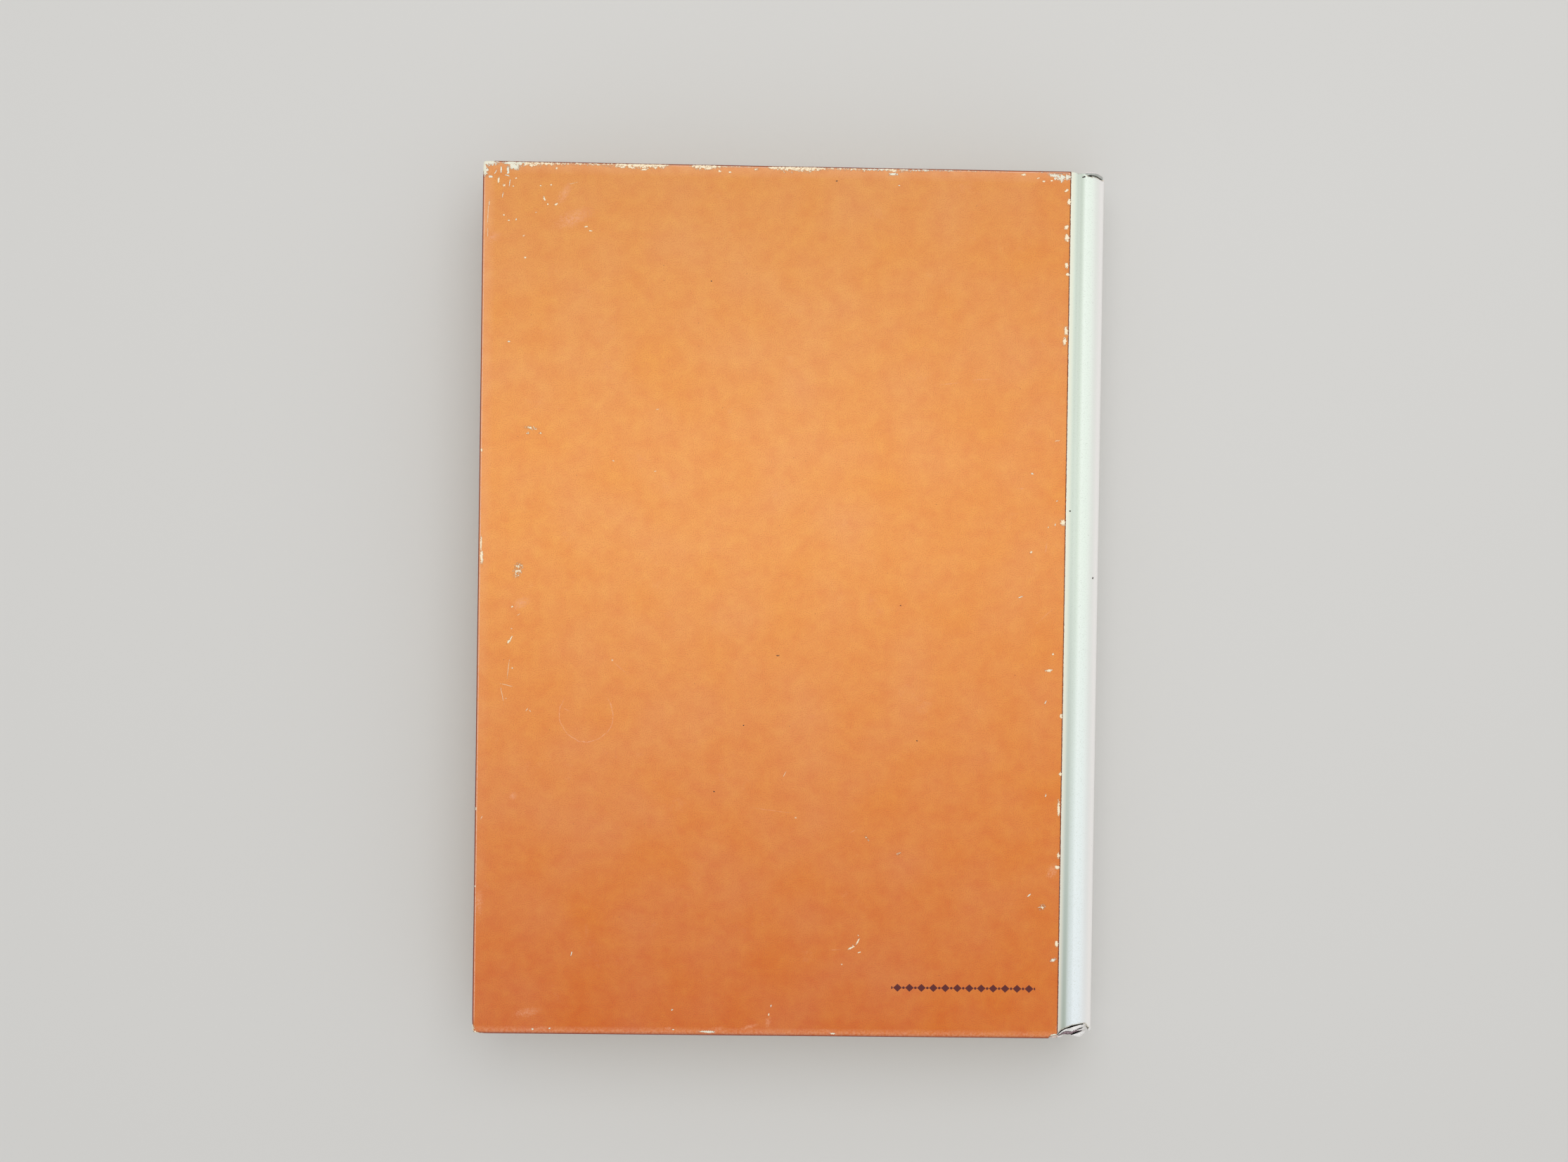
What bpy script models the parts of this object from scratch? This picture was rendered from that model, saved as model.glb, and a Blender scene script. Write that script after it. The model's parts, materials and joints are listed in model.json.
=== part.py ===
"""A casebound cookbook, closed and lying on its front cover.

Metres, +Z up.  The fore-edge is at -X and the spine at +X, the head at +Y and the tail at -Y.
The origin is under the middle of the book, on the surface that it lies on.

The section across the spine drives the whole book: the back of the pages is an arc, and the gauze,
lining, card and covering paper lie over it as arcs about the same line.  The book is the same above
and below its middle plane, so each cover is modelled once, about its own hinge line, and the front
cover is the back cover turned half way round about X.
"""
import math

import bmesh
import bpy
from mathutils import Vector

# Pages
PAGE_WIDTH = 0.1746
PAGE_HEIGHT = 0.254
BLOCK_THICKNESS = 0.0234
BACK_ROUNDING = 0.0073
SHOULDER_RISE = 0.0005
SHOULDER_RUN = 0.0015

# Covers and endpapers
BOARD_THICKNESS = 0.002
COVER_PAPER = 0.0002
ENDPAPER = 0.0002
TURN_IN = 0.016
SQUARE = 0.0032
FORE_SQUARE = 0.0037
EDGE_RADIUS = 0.0006

# Spine, from the pages outwards
MULL = 0.0003
LINING = 0.0003
LINING_SETBACK = 0.0008
LINING_SHORT = 0.004
HOLLOW = 0.0003
SPINE_CARD = 0.0005
CARD_SETBACK = 0.0015
CREST_ROUND = 0.0003
BAND_RADIUS = 0.0008

# Joint between a board and the spine
JOINT_WIDTH = 0.0025
GROOVE_AIR = 0.0003
JOINT_SLIT = 0.0004
OPEN_CLEARANCE = 0.0008

# Air left between glued or touching faces
GLUE_GAP = 0.0001

ARC_STEPS = 20
GROOVE_STEPS = 6
SMOOTH_ANGLE = math.radians(35)

# Heights, from the middle plane of the book
page_top = BLOCK_THICKNESS / 2
flyleaf_bottom = page_top + GLUE_GAP
flyleaf_top = flyleaf_bottom + ENDPAPER
pastedown_bottom = flyleaf_top + GLUE_GAP
turn_in_bottom = pastedown_bottom + ENDPAPER + GLUE_GAP
board_bottom = turn_in_bottom + COVER_PAPER + GLUE_GAP
board_top = board_bottom + BOARD_THICKNESS
cover_top = board_top + GLUE_GAP + COVER_PAPER

# Outer radii of the layers over the back of the pages, and how far round each one reaches
shoulder_height = page_top + SHOULDER_RISE
back_radius = (shoulder_height ** 2 + BACK_ROUNDING ** 2) / (2 * BACK_ROUNDING)
mull_radius = back_radius + GLUE_GAP + MULL
lining_radius = mull_radius + GLUE_GAP + LINING
spine_flap_radius = lining_radius + HOLLOW
card_radius = spine_flap_radius + COVER_PAPER + GLUE_GAP + SPINE_CARD
spine_radius = card_radius + GLUE_GAP + COVER_PAPER
shoulder_angle = math.asin(shoulder_height / back_radius)
lining_angle = shoulder_angle - LINING_SETBACK / lining_radius
card_angle = shoulder_angle - CARD_SETBACK / card_radius
crest_angle = card_angle + CREST_ROUND / card_radius
band_angle = shoulder_angle - 2 * BAND_RADIUS / back_radius

# Places across the book
shoulder_to_arc_centre = back_radius * math.cos(shoulder_angle)
book_width = FORE_SQUARE + PAGE_WIDTH + spine_radius - shoulder_to_arc_centre
fore_edge = -book_width / 2
page_fore_edge = fore_edge + FORE_SQUARE
shoulder_x = page_fore_edge + PAGE_WIDTH
arc_centre = shoulder_x - shoulder_to_arc_centre
board_edge = shoulder_x - JOINT_WIDTH
board_fore_edge = fore_edge + COVER_PAPER + GLUE_GAP
shoulder_foot = shoulder_x - SHOULDER_RUN

# Hinge line of the back cover: level with the covering in the floor of the groove, and as far out
# as lets the opened board lie just clear of the rounded spine
groove_height = flyleaf_top + SHOULDER_RISE + GROOVE_AIR + COVER_PAPER
hinge_height = groove_height - COVER_PAPER / 2
open_board_height = 2 * hinge_height - cover_top
spine_beside_open_board = arc_centre + math.sqrt(spine_radius ** 2 - open_board_height ** 2)
hinge_x = (board_edge + spine_beside_open_board + OPEN_CLEARANCE) / 2

# Places along the book
page_end = PAGE_HEIGHT / 2
cover_end = page_end + SQUARE
board_end = cover_end - COVER_PAPER - GLUE_GAP
band_end = page_end + GLUE_GAP + BAND_RADIUS

HALF_TURN = math.pi
TO_HINGE = Vector((-hinge_x, 0.0, -hinge_height))


def srgb(hex_colour):
    """Linear RGBA of a colour written as six hex digits."""
    channels = [int(hex_colour[i:i + 2], 16) / 255 for i in (0, 2, 4)]
    linear = [c / 12.92 if c <= 0.04045 else ((c + 0.055) / 1.055) ** 2.4 for c in channels]
    return (*linear, 1.0)


def make_material(name, hex_colour, roughness):
    material = bpy.data.materials.new(name)
    material.use_nodes = True
    shader = material.node_tree.nodes["Principled BSDF"]
    shader.inputs["Base Color"].default_value = srgb(hex_colour)
    shader.inputs["Roughness"].default_value = roughness
    shader.inputs["Metallic"].default_value = 0.0
    return material


def add_empty(name, x, height, turn=0.0):
    empty = bpy.data.objects.new(name, None)
    empty.location = (x, 0.0, height)
    empty.rotation_euler = (turn, 0.0, 0.0)
    book.objects.link(empty)
    return empty


def add_piece(name, data, parent):
    """A piece whose data is measured in its parent's frame."""
    piece = bpy.data.objects.new(name, data)
    piece.parent = parent
    book.objects.link(piece)
    return piece


def box(name, low, high, material):
    bm = bmesh.new()
    bmesh.ops.create_cube(bm, size=1.0)
    for vert in bm.verts:
        vert.co = [a + (0.5 + c) * (b - a) for a, b, c in zip(low, high, vert.co)]
    return finish_mesh(bm, name, material)


def finish_mesh(bm, name, material):
    """The finished mesh, shaded smooth except across its rims and corners."""
    for face in bm.faces:
        face.smooth = True
    for edge in bm.edges:
        edge.smooth = not edge.is_boundary and edge.calc_face_angle() < SMOOTH_ANGLE
    mesh = bpy.data.meshes.new(name)
    bm.to_mesh(mesh)
    bm.free()
    mesh.materials.append(material)
    return mesh


def solidify(piece, thickness):
    """Give an open surface its thickness, behind its faces."""
    wall = piece.modifiers.new("thickness", "SOLIDIFY")
    wall.thickness = thickness
    wall.offset = -1.0
    wall.use_even_offset = True


def round_edges(piece, radius):
    bevel = piece.modifiers.new("rounded edges", "BEVEL")
    bevel.width = radius
    bevel.segments = 2
    bevel.limit_method = "ANGLE"
    bevel.angle_limit = math.radians(60)
    bevel.harden_normals = True


def arc(radius, half_angle):
    """Points (x, z) of a layer over the back, from its upper end round to its lower end."""
    angles = [half_angle * (1 - 2 * i / ARC_STEPS) for i in range(ARC_STEPS + 1)]
    return [(arc_centre + radius * math.cos(a), radius * math.sin(a)) for a in angles]


def bezier(start, start_pull, end_pull, end):
    """Points (x, z) of a cubic curve from start to end, both included."""
    points = []
    for i in range(GROOVE_STEPS + 1):
        t = i / GROOVE_STEPS
        weights = ((1 - t) ** 3, 3 * t * (1 - t) ** 2, 3 * t * t * (1 - t), t ** 3)
        corners = (start, start_pull, end_pull, end)
        points.append(tuple(sum(w * c[k] for w, c in zip(weights, corners)) for k in (0, 1)))
    return points


def board_side_of_groove():
    """The covering from the edge of the board down to the floor of the groove."""
    floor_x = shoulder_x - JOINT_SLIT / 2
    return bezier(
        (board_edge, cover_top),
        (board_edge + 0.4 * JOINT_WIDTH, cover_top),
        (floor_x - 0.3 * JOINT_WIDTH, groove_height),
        (floor_x, groove_height),
    )


def spine_side_of_groove():
    """The covering from the floor of the groove over the edge of the card, on to the spine."""
    floor_x = shoulder_x + JOINT_SLIT / 2
    end_x, end_z = arc(spine_radius, crest_angle)[0]
    reach = end_x - floor_x
    return bezier(
        (floor_x, groove_height),
        (floor_x + 0.25 * reach, groove_height),
        (end_x - 0.8 * reach * math.sin(crest_angle), end_z + 0.8 * reach * math.cos(crest_angle)),
        (end_x, end_z),
    )


def add_rows(bm, rows):
    """Faces between neighbouring rows, each a list of (x, y, z)."""
    grid = [[bm.verts.new(point) for point in row] for row in rows]
    for near, far in zip(grid, grid[1:]):
        for i in range(len(near) - 1):
            bm.faces.new((near[i], near[i + 1], far[i + 1], far[i]))


def swept(points, half_length):
    """Two rows: a curve in X and Z at the tail and at the head."""
    return [[(x, y, z) for x, z in points] for y in (-half_length, half_length)]


def layer_over_back(name, radius, half_angle, half_length, thickness, material):
    """A curved sheet glued over the back of the pages; radius is its outer face's."""
    bm = bmesh.new()
    add_rows(bm, swept(arc(radius, half_angle), half_length))
    piece = add_piece(name, finish_mesh(bm, name, material), block_frame)
    solidify(piece, thickness)


def make_page_block():
    """All the pages: rounded back with its shoulders, and a fore-edge hollowed to match."""
    back = arc(back_radius, shoulder_angle)
    hollow = [(x - PAGE_WIDTH, z) for x, z in reversed(back)]
    fore = [(x, max(-page_top, min(page_top, z))) for x, z in hollow]
    outline = [(shoulder_foot, page_top), *back, (shoulder_foot, -page_top), *fore]

    curve = bpy.data.curves.new("page_block", "CURVE")
    curve.dimensions = "2D"
    curve.fill_mode = "BOTH"
    curve.extrude = page_end
    spline = curve.splines.new("POLY")
    spline.points.add(len(outline) - 1)
    for point, (x, z) in zip(spline.points, outline):
        point.co = (x, z, 0.0, 1.0)
    spline.use_cyclic_u = True
    curve.materials.append(page_paper)
    block = add_piece("page_block", curve, block_frame)
    block.rotation_euler = (math.radians(90), 0.0, 0.0)


def flyleaf_mesh():
    """The loose half of an endpaper, flat on the pages and lifted by the shoulder."""
    profile = [
        (page_fore_edge, flyleaf_top),
        (shoulder_foot, flyleaf_top),
        (shoulder_x, flyleaf_top + SHOULDER_RISE),
    ]
    bm = bmesh.new()
    add_rows(bm, swept(profile, page_end))
    return finish_mesh(bm, "flyleaf", endpaper)


def make_band(curve, name, y):
    band = add_piece(name, curve, block_frame)
    band.location = (0.0, y, 0.0)


def band_curve():
    """A round bead that follows the back of the pages."""
    curve = bpy.data.curves.new("band", "CURVE")
    curve.dimensions = "3D"
    curve.bevel_depth = BAND_RADIUS
    curve.bevel_resolution = 2
    curve.use_fill_caps = True
    route = arc(back_radius - BAND_RADIUS, band_angle)
    spline = curve.splines.new("POLY")
    spline.points.add(len(route) - 1)
    for point, (x, z) in zip(spline.points, route):
        point.co = (x, 0.0, z, 1.0)
    curve.materials.append(band_cotton)
    return curve


def make_spine_paper():
    """The covering over the spine: from groove to groove, turned in over both ends of the card."""
    over_card = arc(spine_radius, crest_angle)
    upper = spine_side_of_groove()[:-1]
    lower = [(x, -z) for x, z in reversed(upper)]
    inside = arc(spine_flap_radius, crest_angle)
    bm = bmesh.new()
    add_rows(bm, swept(upper + over_card + lower, cover_end))
    for end in (-1, 1):
        rows = [
            [(x, end * cover_end, z) for x, z in over_card],
            [(x, end * cover_end, z) for x, z in inside],
            [(x, end * (cover_end - TURN_IN), z) for x, z in inside],
        ]
        add_rows(bm, rows if end > 0 else rows[::-1])
    bmesh.ops.remove_doubles(bm, verts=bm.verts, dist=1e-6)
    piece = add_piece("spine_paper", finish_mesh(bm, "spine_paper", spine_stock), block_frame)
    solidify(piece, COVER_PAPER)


def cover_paper_mesh():
    """The covering over one board: face, joint, three edges and three mitred turned-in flaps."""
    face = [(fore_edge, cover_top), *board_side_of_groove()]
    bm = bmesh.new()
    add_rows(bm, swept(face, cover_end))

    def around(inset, z):
        """Round the three outer sides of the board, from the tail joint to the head joint."""
        return [
            (board_edge, inset - cover_end, z),
            (fore_edge + inset, inset - cover_end, z),
            (fore_edge + inset, cover_end - inset, z),
            (board_edge, cover_end - inset, z),
        ]

    add_rows(bm, [around(0.0, cover_top), around(0.0, turn_in_bottom), around(TURN_IN, turn_in_bottom)])
    bmesh.ops.remove_doubles(bm, verts=bm.verts, dist=1e-6)
    bmesh.ops.translate(bm, verts=bm.verts, vec=TO_HINGE)
    return finish_mesh(bm, "cover_paper", printed_paper)


def cover_box(name, low, high, material):
    """A box in a cover, given from the middle plane and measured from the hinge line."""
    return box(name, Vector(low) + TO_HINGE, Vector(high) + TO_HINGE, material)


def make_cover(side, hinge, board, paper, pastedown):
    piece = add_piece(side + "_board", board, hinge)
    round_edges(piece, EDGE_RADIUS - COVER_PAPER - GLUE_GAP)
    piece = add_piece(side + "_cover_paper", paper, hinge)
    round_edges(piece, EDGE_RADIUS)
    solidify(piece, COVER_PAPER)
    add_piece(side + "_pastedown", pastedown, hinge)


for old in list(bpy.data.objects):
    bpy.data.objects.remove(old, do_unlink=True)
book = bpy.data.collections.new("cookbook")
bpy.context.scene.collection.children.link(book)

printed_paper = make_material("printed covering paper", "E8965A", 0.5)
spine_stock = make_material("unprinted covering paper", "E6EEE6", 0.5)
binders_board = make_material("binder's board", "A39C8E", 0.9)
grey_card = make_material("grey card", "8F8A80", 0.9)
page_paper = make_material("page paper", "E9E3D3", 0.85)
endpaper = make_material("endpaper", "F0EBDF", 0.8)
kraft_paper = make_material("kraft paper", "B99A6B", 0.85)
gauze = make_material("starched gauze", "DAD5C6", 0.95)
band_cotton = make_material("band cotton", "E6DCC4", 0.9)

block_frame = add_empty("block_frame", 0.0, cover_top)
make_page_block()
layer_over_back("spine_mull", mull_radius, lining_angle, page_end - LINING_SHORT, MULL, gauze)
layer_over_back("spine_lining", lining_radius, lining_angle, page_end - LINING_SHORT, LINING, kraft_paper)
layer_over_back("spine_card", card_radius, card_angle, board_end, SPINE_CARD, grey_card)
make_spine_paper()
band = band_curve()
make_band(band, "head_band", band_end)
make_band(band, "tail_band", -band_end)

flyleaf = flyleaf_mesh()
for side, turn in (("back", 0.0), ("front", HALF_TURN)):
    piece = add_piece(side + "_flyleaf", flyleaf, block_frame)
    piece.rotation_euler = (turn, 0.0, 0.0)
    solidify(piece, ENDPAPER)

board = cover_box("board", (board_fore_edge, -board_end, board_bottom),
                  (board_edge - GLUE_GAP, board_end, board_top), binders_board)
pastedown = cover_box("pastedown", (page_fore_edge, -page_end, pastedown_bottom),
                      (shoulder_foot, page_end, pastedown_bottom + ENDPAPER), endpaper)
paper = cover_paper_mesh()
back_hinge = add_empty("back_cover_hinge", hinge_x, cover_top + hinge_height)
front_hinge = add_empty("front_cover_hinge", hinge_x, cover_top - hinge_height, HALF_TURN)
make_cover("back", back_hinge, board, paper, pastedown)
make_cover("front", front_hinge, board, paper, pastedown)
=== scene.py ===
"""The worn casebound cookbook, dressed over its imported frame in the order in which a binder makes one.

Lengths are in millimetres until a mesh is made: x runs from fore-edge to spine, y from tail to head, z up.
"""
import json
import math
from functools import partial

import bmesh
import bpy
import numpy as np
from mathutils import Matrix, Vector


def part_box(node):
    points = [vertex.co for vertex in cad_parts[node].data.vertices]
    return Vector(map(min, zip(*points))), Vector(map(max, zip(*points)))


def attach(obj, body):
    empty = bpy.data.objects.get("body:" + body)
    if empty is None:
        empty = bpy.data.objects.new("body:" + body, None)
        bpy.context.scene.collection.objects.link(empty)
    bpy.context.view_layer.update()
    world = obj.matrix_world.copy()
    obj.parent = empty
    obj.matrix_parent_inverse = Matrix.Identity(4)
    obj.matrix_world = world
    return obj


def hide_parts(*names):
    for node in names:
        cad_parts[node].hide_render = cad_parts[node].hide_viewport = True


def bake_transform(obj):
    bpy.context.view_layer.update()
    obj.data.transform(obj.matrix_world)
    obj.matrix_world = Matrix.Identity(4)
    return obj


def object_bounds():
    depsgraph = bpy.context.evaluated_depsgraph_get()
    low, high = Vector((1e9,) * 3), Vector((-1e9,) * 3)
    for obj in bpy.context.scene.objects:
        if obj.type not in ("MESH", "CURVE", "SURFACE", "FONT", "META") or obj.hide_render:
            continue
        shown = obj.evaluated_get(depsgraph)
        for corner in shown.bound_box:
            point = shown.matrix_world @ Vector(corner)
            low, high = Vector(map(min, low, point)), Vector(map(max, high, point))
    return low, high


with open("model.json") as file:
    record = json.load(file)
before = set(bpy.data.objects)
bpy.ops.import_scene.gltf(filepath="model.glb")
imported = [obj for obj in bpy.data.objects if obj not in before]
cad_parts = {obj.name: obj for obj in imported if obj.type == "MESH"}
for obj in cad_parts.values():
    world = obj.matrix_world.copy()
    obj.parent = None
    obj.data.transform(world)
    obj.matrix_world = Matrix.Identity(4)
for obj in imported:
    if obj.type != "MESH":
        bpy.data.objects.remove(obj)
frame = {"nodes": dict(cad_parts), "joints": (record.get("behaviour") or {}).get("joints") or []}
cad_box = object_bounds()
nodes = frame["nodes"]


# ------------------------------------------------------------------ the leaves
# About 230 leaves of uncoated book paper, folded into sections, sewn through their folds and glued at the
# back. The glued back was hammered round, which hollows the fore-edge. Cut edges show each leaf as a line.

MM = 0.001
SECTIONS = 15
SHOULDER_RISE = 0.5
SHOULDER_RUN = 1.5
BACK_ROUNDING = 7.3
LEAF_WIDTH = 174.6

block_low, block_high = (np.array(corner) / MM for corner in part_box("page_block"))
middle = (block_low[2] + block_high[2]) / 2
leaf_end = block_high[1]
shoulder_half = block_high[2] - middle
body_half = shoulder_half - SHOULDER_RISE
back_radius = (shoulder_half**2 + BACK_ROUNDING**2) / (2 * BACK_ROUNDING)
arc_centre = block_high[0] - back_radius

chance = np.random.default_rng(5)
leaf_steps = np.linspace(-1, 1, 5 * SECTIONS + 1)
section_wander = np.repeat(chance.normal(0, 0.08, SECTIONS + 1), 5)[: leaf_steps.size]
leaf_wander = section_wander + chance.normal(0, 0.035, leaf_steps.size)


def smooth(value, start, end):
    """0 up to start, 1 from end on, and 3t² - 2t³ of the way t between them."""
    t = np.clip((value - start) / (end - start), 0, 1)
    return t * t * (3 - 2 * t)


def leaf_point(across, along, through):
    """A point of the block: across is 0 at the fore-edge and 1 at the back, along -1 tail and 1 head,
    and through -1 on the lowest leaf and 1 on the highest. Each leaf ends on the circle of the back and is
    as wide as the others; a leaf stands out of the cut edges by its own few hundredths of a millimetre."""
    wander = np.interp(through, leaf_steps, leaf_wander)
    from_back = (1 - across) * LEAF_WIDTH
    half = body_half + SHOULDER_RISE * smooth(-from_back, -SHOULDER_RUN, 0)
    back = arc_centre + np.sqrt(back_radius**2 - (through * shoulder_half) ** 2)
    x = back - from_back + wander * (across == 0)
    y = along * (leaf_end + 0.7 * wander * (np.abs(along) == 1))
    return np.stack([x, y, middle + through * half], -1)


def grid_faces(rows, columns):
    """Each square of four neighbours in a grid of rows by columns."""
    index = np.arange(rows * columns).reshape(rows, columns)
    return np.stack([index[:-1, :-1], index[:-1, 1:], index[1:, 1:], index[1:, :-1]], -1).reshape(-1, 4)


def put_in_scene(name, data):
    """An object at the origin that shows this mesh, lamp or camera."""
    made = bpy.data.objects.new(name, data)
    bpy.context.scene.collection.objects.link(made)
    return made


def make_piece(name, grids, material, closed=False, thickness=0.0):
    """A smooth mesh over grids of points in millimetres, joined where they meet. Columns crossed with rows
    point outwards on each grid, or a closed piece has its faces turned outwards once its grids are joined. A
    sheet gets its thickness on the inside."""
    faces, start = [], 0
    for points in grids:
        faces.append(grid_faces(*points.shape[:2]) + start)
        start += points.shape[0] * points.shape[1]
    mesh = bpy.data.meshes.new(name)
    places = np.concatenate([points.reshape(-1, 3) for points in grids]) * MM
    mesh.from_pydata(places.tolist(), [], np.concatenate(faces).tolist())
    mesh.materials.append(material)
    bm = bmesh.new()
    bm.from_mesh(mesh)
    bmesh.ops.remove_doubles(bm, verts=bm.verts, dist=0.004 * MM)
    if closed:
        bmesh.ops.recalc_face_normals(bm, faces=bm.faces)
    bm.to_mesh(mesh)
    bm.free()
    piece = put_in_scene(name, mesh)
    if thickness:
        wall = piece.modifiers.new("paper", "SOLIDIFY")
        wall.thickness = thickness * MM
        wall.offset = -1.0
        bpy.context.view_layer.update()
        thick = piece.evaluated_get(bpy.context.evaluated_depsgraph_get())
        piece.data = bpy.data.meshes.new_from_object(thick)
        piece.modifiers.clear()
    piece.data.shade_smooth()
    piece.data.set_sharp_from_angle(angle=math.radians(40))
    return piece


def linear(code):
    """The hex colour as linear red, green, blue and 1: c / 12.92 up to 0.04045, and above it
    ((c + 0.055) / 1.055)^2.4."""
    c = np.array([int(code[i : i + 2], 16) for i in (0, 2, 4)]) / 255
    c = np.where(c > 0.04045, ((c + 0.055) / 1.055) ** 2.4, c / 12.92)
    return (*c.tolist(), 1.0)


def feed(node, inputs):
    """Gives a node its inputs: a list in the order of its sockets in use, or a dictionary by their names. An
    input is a plain value, a hex colour, or the node or socket that feeds it."""
    sockets = [socket for socket in node.inputs if socket.enabled]
    if isinstance(inputs, dict):
        inputs = [inputs.get(socket.name) for socket in sockets]
    for socket, value in zip(sockets, inputs):
        if isinstance(value, bpy.types.Node):
            value = next(output for output in value.outputs if output.enabled)
        if isinstance(value, bpy.types.NodeSocket):
            node.id_data.links.new(value, socket)
        elif value is not None:
            socket.default_value = linear(value) if isinstance(value, str) else value


def add_node(tree, kind, settings=(), inputs=()):
    """One shader node. settings are its own properties by name, or only the name of its operation. As lists,
    the inputs of a Mix are a share and two colours, those of a Map Range a value, two limits and what they
    turn into, and those of a noise a place, a scale, its detail and its roughness."""
    node = tree.nodes.new("ShaderNode" + kind)
    if isinstance(settings, str):
        settings = {"operation": settings}
    for name, value in dict(settings).items():
        setattr(node, name, value)
    feed(node, inputs)
    return node


def new_material(name, roughness):
    """A material whose shader has that roughness, and the function that adds a node to it."""
    material = bpy.data.materials.new(name)
    material.use_nodes = True
    feed(material.node_tree.nodes["Principled BSDF"], {"Roughness": roughness})
    return material, partial(add_node, material.node_tree)


def finish_surface(material, colour, height, depth, others=()):
    """Gives the shader its colour, a bump of that depth in millimetres, and the others by name."""
    tree = material.node_tree
    bump = add_node(tree, "Bump", {}, {"Strength": 1.0, "Distance": depth * MM, "Height": height})
    feed(tree.nodes["Principled BSDF"], {"Base Color": colour, "Normal": bump, **dict(others)})
    return material


COLOURS = {"data_type": "RGBA"}


def book_paper_edges():
    """Uncoated book paper, guillotined: dull cream, with fine uneven lines along the leaves, toned by age.
    Leaves are 0.1 mm thick; the lines are drawn at 0.3 mm, or they would not show."""
    material, add = new_material("uncoated_book_paper_cut_edges", 0.85)
    place = add("TexCoord").outputs["Object"]
    stretched = add("Mapping", {}, {"Vector": place, "Scale": (60.0, 60.0, 3300.0)})
    lines = add("TexNoise", {}, [stretched, 1.0, 4.0, 0.7])
    strong = add("MapRange", {}, [lines, 0.3, 0.72])
    lined = add("Mix", COLOURS, [strong, "DFD4BB", "F8F2E6"])
    toning = add("Math", "MULTIPLY", [add("TexNoise", {}, [place, 45.0, 3.0]), 0.25])
    toned = add("Mix", COLOURS, [toning, lined, "DDCDA9"])
    return finish_surface(material, toned, lines, 0.12)


def block_side(first, second, fixed):
    """One side of the block: a grid over two of its directions, and the third, the same all over the side."""
    rows, columns = np.meshgrid(first, second, indexing="ij")
    return rows, columns, np.full(rows.shape, float(fixed))


across_steps = np.concatenate([np.linspace(0, 0.97, 25), np.linspace(0.975, 1, 9)])
along_steps = np.linspace(-1, 1, 41)
sides = []
for end in (0, 1):
    along, through, across = block_side(along_steps, leaf_steps, end)
    sides.append(leaf_point(across, along, through))
for end in (-1, 1):
    across, through, along = block_side(across_steps, leaf_steps, end)
    sides.append(leaf_point(across, along, through))
    across, along, through = block_side(across_steps, along_steps, end)
    sides.append(leaf_point(across, along, through))
leaves = make_piece("sewn_leaves", sides, book_paper_edges(), closed=True)
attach(leaves, "text_block")
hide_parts("page_block")


# ------------------------------------------------------------------ gauze and back lining
# Open starched cotton gauze, glued over the folds to hold the sections, and a strip of brown kraft paper
# glued over it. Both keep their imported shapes; they show only down the hollow of the spine.


def starched_gauze():
    """Cotton gauze, starched: dull, off-white, an open square weave of threads 0.8 mm apart."""
    material, add = new_material("starched_cotton_gauze", 0.95)
    place = add("TexCoord").outputs["Object"]
    threads = [add("TexWave", {"bands_direction": way}, [place, 390.0, 0.6]).outputs["Fac"] for way in "YZ"]
    weave = add("Math", "MAXIMUM", threads)
    cloth = add("Mix", COLOURS, [weave, "9C8B6A", "DCD7C6"])
    return finish_surface(material, cloth, weave, 0.12)


def kraft_paper():
    """Unbleached kraft paper: dull brown with long soft fibres, lighter and darker."""
    material, add = new_material("unbleached_kraft_paper", 0.9)
    place = add("TexCoord").outputs["Object"]
    drawn = add("Mapping", {}, {"Vector": place, "Scale": (900.0, 260.0, 900.0)})
    fibres = add("TexNoise", {}, [drawn, 1.0, 5.0, 0.65])
    paper = add("Mix", COLOURS, [fibres, "8E6C42", "C4A375"])
    return finish_surface(material, paper, fibres, 0.04)


nodes["spine_mull"].data.materials[0] = starched_gauze()
nodes["spine_lining"].data.materials[0] = kraft_paper()


# ------------------------------------------------------------------ head and tail bands
# A woven cotton bead glued to the back at each end of the leaves, where it hides the folds. The thread is
# wound over a cord, so the bead is ribbed across its length.

BAND_RIB = 0.9
RIB_DEPTH = 0.12


def ribbed_bead(radius, half_angle, y):
    """A cord along the circle of the back. Round it a circle of the bead's radius, which a cosine makes wider
    and narrower with each rib, drawn to a point at both ends: the centre is (cos a, sin a) times the back's
    radius less the bead's."""
    ring = back_radius - radius
    angle = np.linspace(-half_angle, half_angle, 241)[:, None]
    turn = np.linspace(0, 2 * np.pi, 13)[None, :]
    rib = 1 - RIB_DEPTH * np.cos(2 * np.pi * ring * angle / BAND_RIB + 0.6 * np.sin(turn))
    size = radius * rib * np.sqrt(np.clip(1 - (angle / half_angle) ** 30, 0, 1))
    out = ring + size * np.cos(turn)
    y = y + size * np.sin(turn)
    return np.stack([arc_centre + out * np.cos(angle), y, middle + out * np.sin(angle)], -1)


def woven_cotton():
    """Mercerised cotton thread, tightly wound: soft cream, a slight sheen, fine strands 0.25 mm apart."""
    material, add = new_material("wound_cotton_thread", 0.8)
    strands = add("TexNoise", {}, [add("TexCoord").outputs["Object"], 2600.0, 2.0])
    thread = add("Mix", COLOURS, [strands, "BFB190", "EFE6CF"])
    return finish_surface(material, thread, strands, 0.05, {"Sheen Weight": 0.3})


cotton = woven_cotton()
for end in ("head_band", "tail_band"):
    band_low, band_high = (np.array(corner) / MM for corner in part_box(end))
    bead_radius = (band_high[1] - band_low[1]) / 2
    reach = math.asin((band_high[2] - middle - 0.4) / back_radius)
    bead = ribbed_bead(bead_radius, reach, (band_low[1] + band_high[1]) / 2)
    band = make_piece("woven_" + end, [bead], cotton, closed=True)
    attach(band, "text_block")
    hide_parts(end)


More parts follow.
